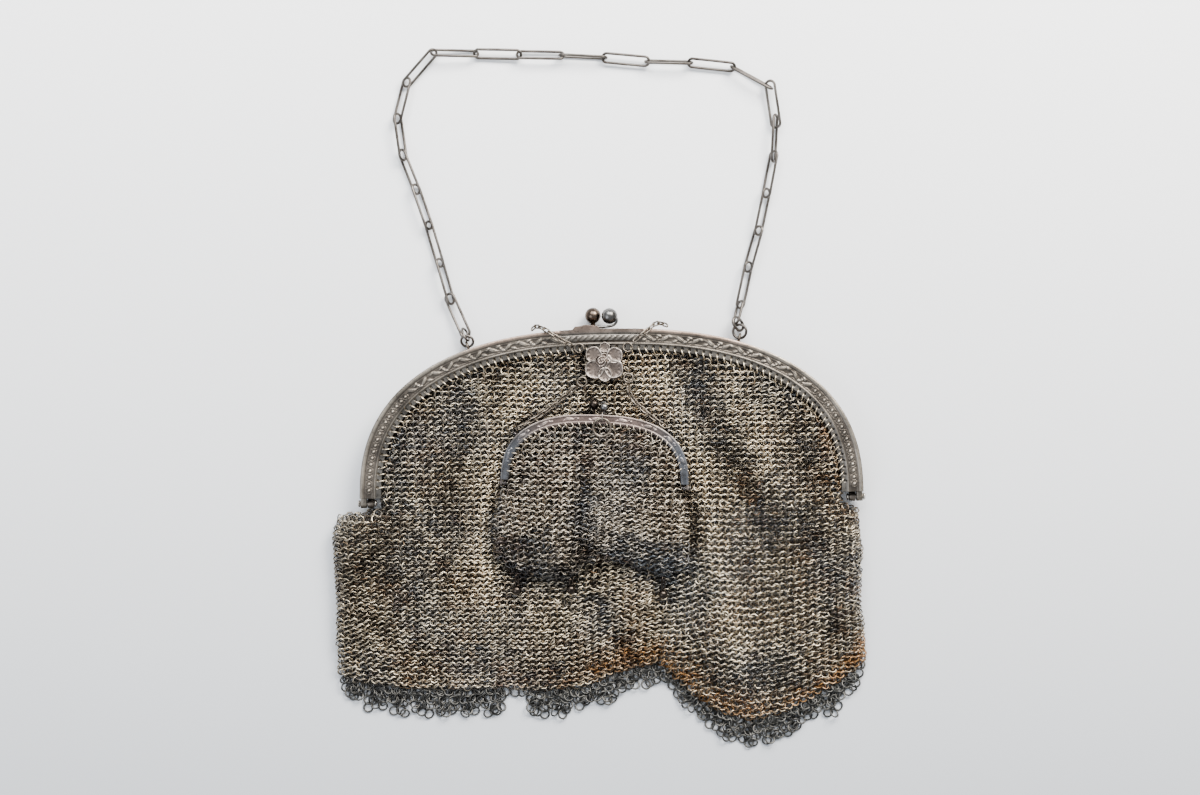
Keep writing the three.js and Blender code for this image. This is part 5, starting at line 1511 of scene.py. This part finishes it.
for node, radius, material in (("coin_clasp_left", 1.7, drop_metal), ("coin_clasp_right", 1.45, pale_polish)):
    low, high = (millimetres(np.array(c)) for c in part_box(node))
    up = Vector((-math.sin(COIN_TURN), math.cos(COIN_TURN), 0))
    top = np.array([(low[0] + high[0]) / 2, high[1] - radius, (low[2] + high[2]) / 2])
    rise = high[1] - low[1] - radius
    start = top - np.array(up) * rise
    ball = turned(ball_outline(radius, 0.9, None, 0.0, rise), 28, start, up)
    made(ball, f"turned_{node}", material, "polished_metal", node)

low, high = (millimetres(np.array(c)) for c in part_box("coin_pull_ring"))
ring = copies(
    "round_pull_ring", taken_apart(link_shape(7, 7, 0.9, 40, 12)),
    [(low + high) / 2], [(1.0, 0, 0)], [(0, 1.0, 0)],
)
made(ring, "round_pull_ring", small_wire, "chain_wire", "coin_pull_ring")

for number in range(1, 4):
    node = f"coin_drop_{number}"
    low, high = (millimetres(np.array(c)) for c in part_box(node))
    radius = 1.65
    loop_length = [4.6, 3.0, 5.0][number - 1]
    down = np.array([math.sin(COIN_TURN), -math.cos(COIN_TURN), 0])
    centre = np.array([(low[0] + high[0]) / 2, low[1] + radius, COIN["base"] + radius - GAP])
    free_of_selection()
    bpy.ops.mesh.primitive_uv_sphere_add(segments=24, ring_count=16, radius=radius)
    ball = new_object()
    set_points(ball, metres(points_of(ball) + centre))
    loop_centre = centre - down * (radius + loop_length / 2 - 0.5)
    side = np.cross(down, [0, 0, 1.0])
    across = side * math.cos(0.785) + np.array([0, 0, 1.0]) * math.sin(0.785)
    loop = copies(
        "loop", taken_apart(link_shape(loop_length, 1.9, 0.5, 20, 8)), [loop_centre], [-down], [across])
    made(joined([ball, loop]), f"ball_drop_{number}", drop_metal, "polished_metal", node)

coin_field = top_surface(
    "coin_bag", lambda corner: to_coin(millimetres(corner)), margin=4, step=0.7, sigma=1.8)


def coin_fold_height(x, y):
    folds = [(-12, -17, 5, 0.5), (-2, -3, 4, -0.9), (8, 12, 5, 0.5), (18, 22, 4, -0.4), (-22, -28, 4, -0.4)]
    total = np.zeros(np.shape(x))
    for top, low, half, height in folds:
        centre = top + (low - top) * np.clip((18 - y) / 45, 0, 1)
        total = total + height * np.exp(-((x - centre) / (half * 0.6)) ** 2)
    return total + 0.3 * soft_noise(x, y, 6, 31)


def coin_centre_height(x, y):
    top = height_at(coin_field, x, y)
    low_edge = lambda ax, ay, bx, by: (ay + by) / 2 < -1.6
    away = np.where(within(x, y, coin_loop), edge_distance(x, y, coin_loop, low_edge), 0)
    inset = np.where(y > -1, inset_from_arch(COIN, x, y), 20)
    fade = smooth_step(away, 1, 6) * smooth_step(inset, 3.4, 8)
    folded = top - 0.95 + coin_fold_height(x, y) * fade
    rolled = np.sqrt(np.clip(1 - (1 - np.clip(away / 3.5, 0, 1)) ** 2, 0, 1))
    body = COIN["base"] + 1.25 + (folded - COIN["base"] - 1.25) * rolled
    ceiling = COIN["base"] + COIN["depth"] - 0.95 - 1.15 + np.clip(inset - 3.3, 0, 3) * 0.45
    return np.where(y > -1, np.minimum(body, ceiling), body)


coin_centre_field = field_of(coin_centre_height, coin_field)
coin_height = lambda x, y: height_at(coin_centre_field, x, y)
COIN_TOP = 20.6
coin_upper = [lambda x, y=COIN_TOP - i * ROW_STEP: np.full(np.shape(x), y) for i in range(22)]
coin_fan = COIN_TOP - 22 * ROW_STEP


def coin_lower(number):
    def row(x):
        reach = np.clip(x, coin_loop[:, 0].min() + 2, coin_loop[:, 0].max() - 2)
        low = hem_height(coin_loop, reach) + 1.1
        return coin_fan + (low - coin_fan) * number / 28
    return row


coin_rows = coin_upper + [coin_lower(i) for i in range(29)]
coin_places = lattice(
    coin_rows, (coin_loop[:, 0].min() - 2, coin_loop[:, 0].max() + 2), coin_height, RING_PITCH)
cx, cy = coin_places[:, 0], coin_places[:, 1]
keep = within(cx, cy, coin_loop) & ~((cy < -3) & (edge_distance(cx, cy, coin_loop) < 0.8))
tucked = (cy > 0.8) & (inset_from_arch(COIN, cx, cy) > 2.6)
tucked = tucked & within(cx, cy, COIN["line"][1][::60]) & (np.abs(cx) < 29.5)
coin_places = coin_places[keep | tucked]
centres, u_axis, v_axis = woven(coin_places, coin_height, RING_LEAN, RING_TWIST, 0.19, random)
coin_features = ring_features(centres[:, 0], centres[:, 1], random, 0.58, False)
dark_band = smooth_step(-centres[:, 1], 15, 22) * 0.42
# Painted shade and light along the coin purse's folds
painted_middle_fold_shading = 0.45 * np.exp(-((centres[:, 0] + 4) / 3.2) ** 2 - ((centres[:, 1] + 6) / 22) ** 2)
painted_middle_fold_shading = painted_middle_fold_shading - 0.4 * np.exp(
    -((centres[:, 0] + 10.5) / 3.5) ** 2 - ((centres[:, 1] + 6) / 20) ** 2)
painted_right_fold_shade = 0.2 * np.exp(-((centres[:, 0] - 12) / 5) ** 2 - ((centres[:, 1] - 8) / 10) ** 2)
# Painted shade along the coin purse's rolled lower edge
rim = 0.35 * np.exp(-(edge_distance(centres[:, 0], centres[:, 1], coin_loop) / 1.8) ** 2)
rim = rim * (centres[:, 1] < 0)
coin_features["tone"] = np.clip(coin_features["tone"] - dark_band - painted_middle_fold_shading - painted_right_fold_shade - rim, 0.03, 1)
rings = copies(
    "coin_rings", taken_apart(link_shape(RING_SIZE, RING_SIZE, RING_WIRE, 8, 3)),
    centres, u_axis, v_axis, coin_features,
)
tarnish_and_shade_weave(rings, centres)
set_points(rings, metres(from_coin(millimetres(points_of(rings)))))
made(rings, "coin_rings", coin_wire, "coin_mesh", "coin_bag")

# Stitch rings of the coin purse
coin_arcs = np.arange(4, COIN["length"] - 4, 2.45)
ex, ey, out = on_arch(COIN, coin_arcs, np.full(len(coin_arcs), 3.3))
slant = -0.4 + random.normal(0, 0.12, len(ex))
ox, oy = out[0], np.maximum(out[1], 0.35)
size = np.hypot(ox, oy)
ox, oy = ox / size, oy / size
along = np.stack([
    ox * np.cos(slant) + oy * np.sin(slant), -ox * np.sin(slant) + oy * np.cos(slant), 0 * ex], -1)
stitch_centres = np.stack([ex, ey, np.full(len(ex), COIN["base"] + COIN["depth"] - 0.85)], -1)
coin_stitches = copies(
    "coin_stitch_rings", taken_apart(link_shape(2.6, 2.6, 0.42, 12, 4)), stitch_centres, along,
    np.repeat([[0, 0, 1.0]], len(ex), 0),
    {"tone": np.clip(random.normal(0.7, 0.15, len(ex)), 0, 1),
     "stain": np.zeros(len(ex)), "cool": np.zeros(len(ex))},
)
set_points(coin_stitches, metres(from_coin(millimetres(points_of(coin_stitches)))))
made(coin_stitches, "coin_stitch_rings", coin_wire, "coin_mesh")


# Floor, lights and camera

def floor_material():
    """Seamless matt paper, pale, with a painted fall-off of the light that darkens it towards the front."""
    material, tree = blank_material("matt_backdrop_paper_painted_falloff")
    place = add_node(tree, "ShaderNodeTexCoord").outputs["Object"]
    y = add_node(tree, "ShaderNodeSeparateXYZ", {"Vector": place}).outputs["Y"]
    # Painted fall-off of the light: darker towards the front
    colour = mixed(tree, ranged(tree, y, -0.16, 0.17, 0, 1), linear("#a5a9ae"), linear("#fafbfc"))
    shader = add_node(tree, "ShaderNodeBsdfPrincipled", {"Base Color": colour, "Roughness": 0.85})
    add_node(tree, "ShaderNodeOutputMaterial", {"Surface": shader.outputs["BSDF"]})
    return material


free_of_selection()
bpy.ops.mesh.primitive_plane_add(size=4, location=(0, 0, 0))
floor = new_object()
floor.name = "floor"
floor.data.materials.append(floor_material())
floor.select_set(False)


def area_light(name, place, target, size, power, colour="#ffffff"):
    light = bpy.data.lights.new(name, "AREA")
    light.shape = "DISK"
    light.size = size
    light.energy = power
    light.color = linear(colour)[:3]
    obj = bpy.data.objects.new(name, light)
    bpy.context.scene.collection.objects.link(obj)
    obj.location = place
    obj.rotation_euler = (Vector(target) - Vector(place)).to_track_quat("-Z", "Y").to_euler()
    return obj


area_light("key_softbox", (0.6, 0.8, 0.85), (0, 0, 0), 0.7, 52, "#fffaf3")
area_light("top_softbox", (-0.15, 0.95, 0.95), (0, 0.02, 0), 0.9, 28)
area_light("fill_softbox", (-0.8, -0.35, 1.1), (0, 0, 0), 0.9, 9, "#eef4ff")

world = bpy.data.worlds.new("studio")
bpy.context.scene.world = world
world.use_nodes = True
world.node_tree.nodes.clear()
background = add_node(world.node_tree, "ShaderNodeBackground", {"Color": linear("#e9edf2"), "Strength": 1.05})
add_node(world.node_tree, "ShaderNodeOutputWorld", {"Surface": background.outputs["Background"]})

camera_data = bpy.data.cameras.new("camera")
camera = bpy.data.objects.new("camera", camera_data)
bpy.context.scene.collection.objects.link(camera)
camera_data.sensor_width = 36
camera_data.lens = 60
view_centre = metres(np.array([-3.55, 34.8, 5.0]))
camera.location = (view_centre[0], view_centre[1], 0.705)
camera.rotation_euler = (0, 0, math.radians(-0.85))
bpy.context.scene.camera = camera
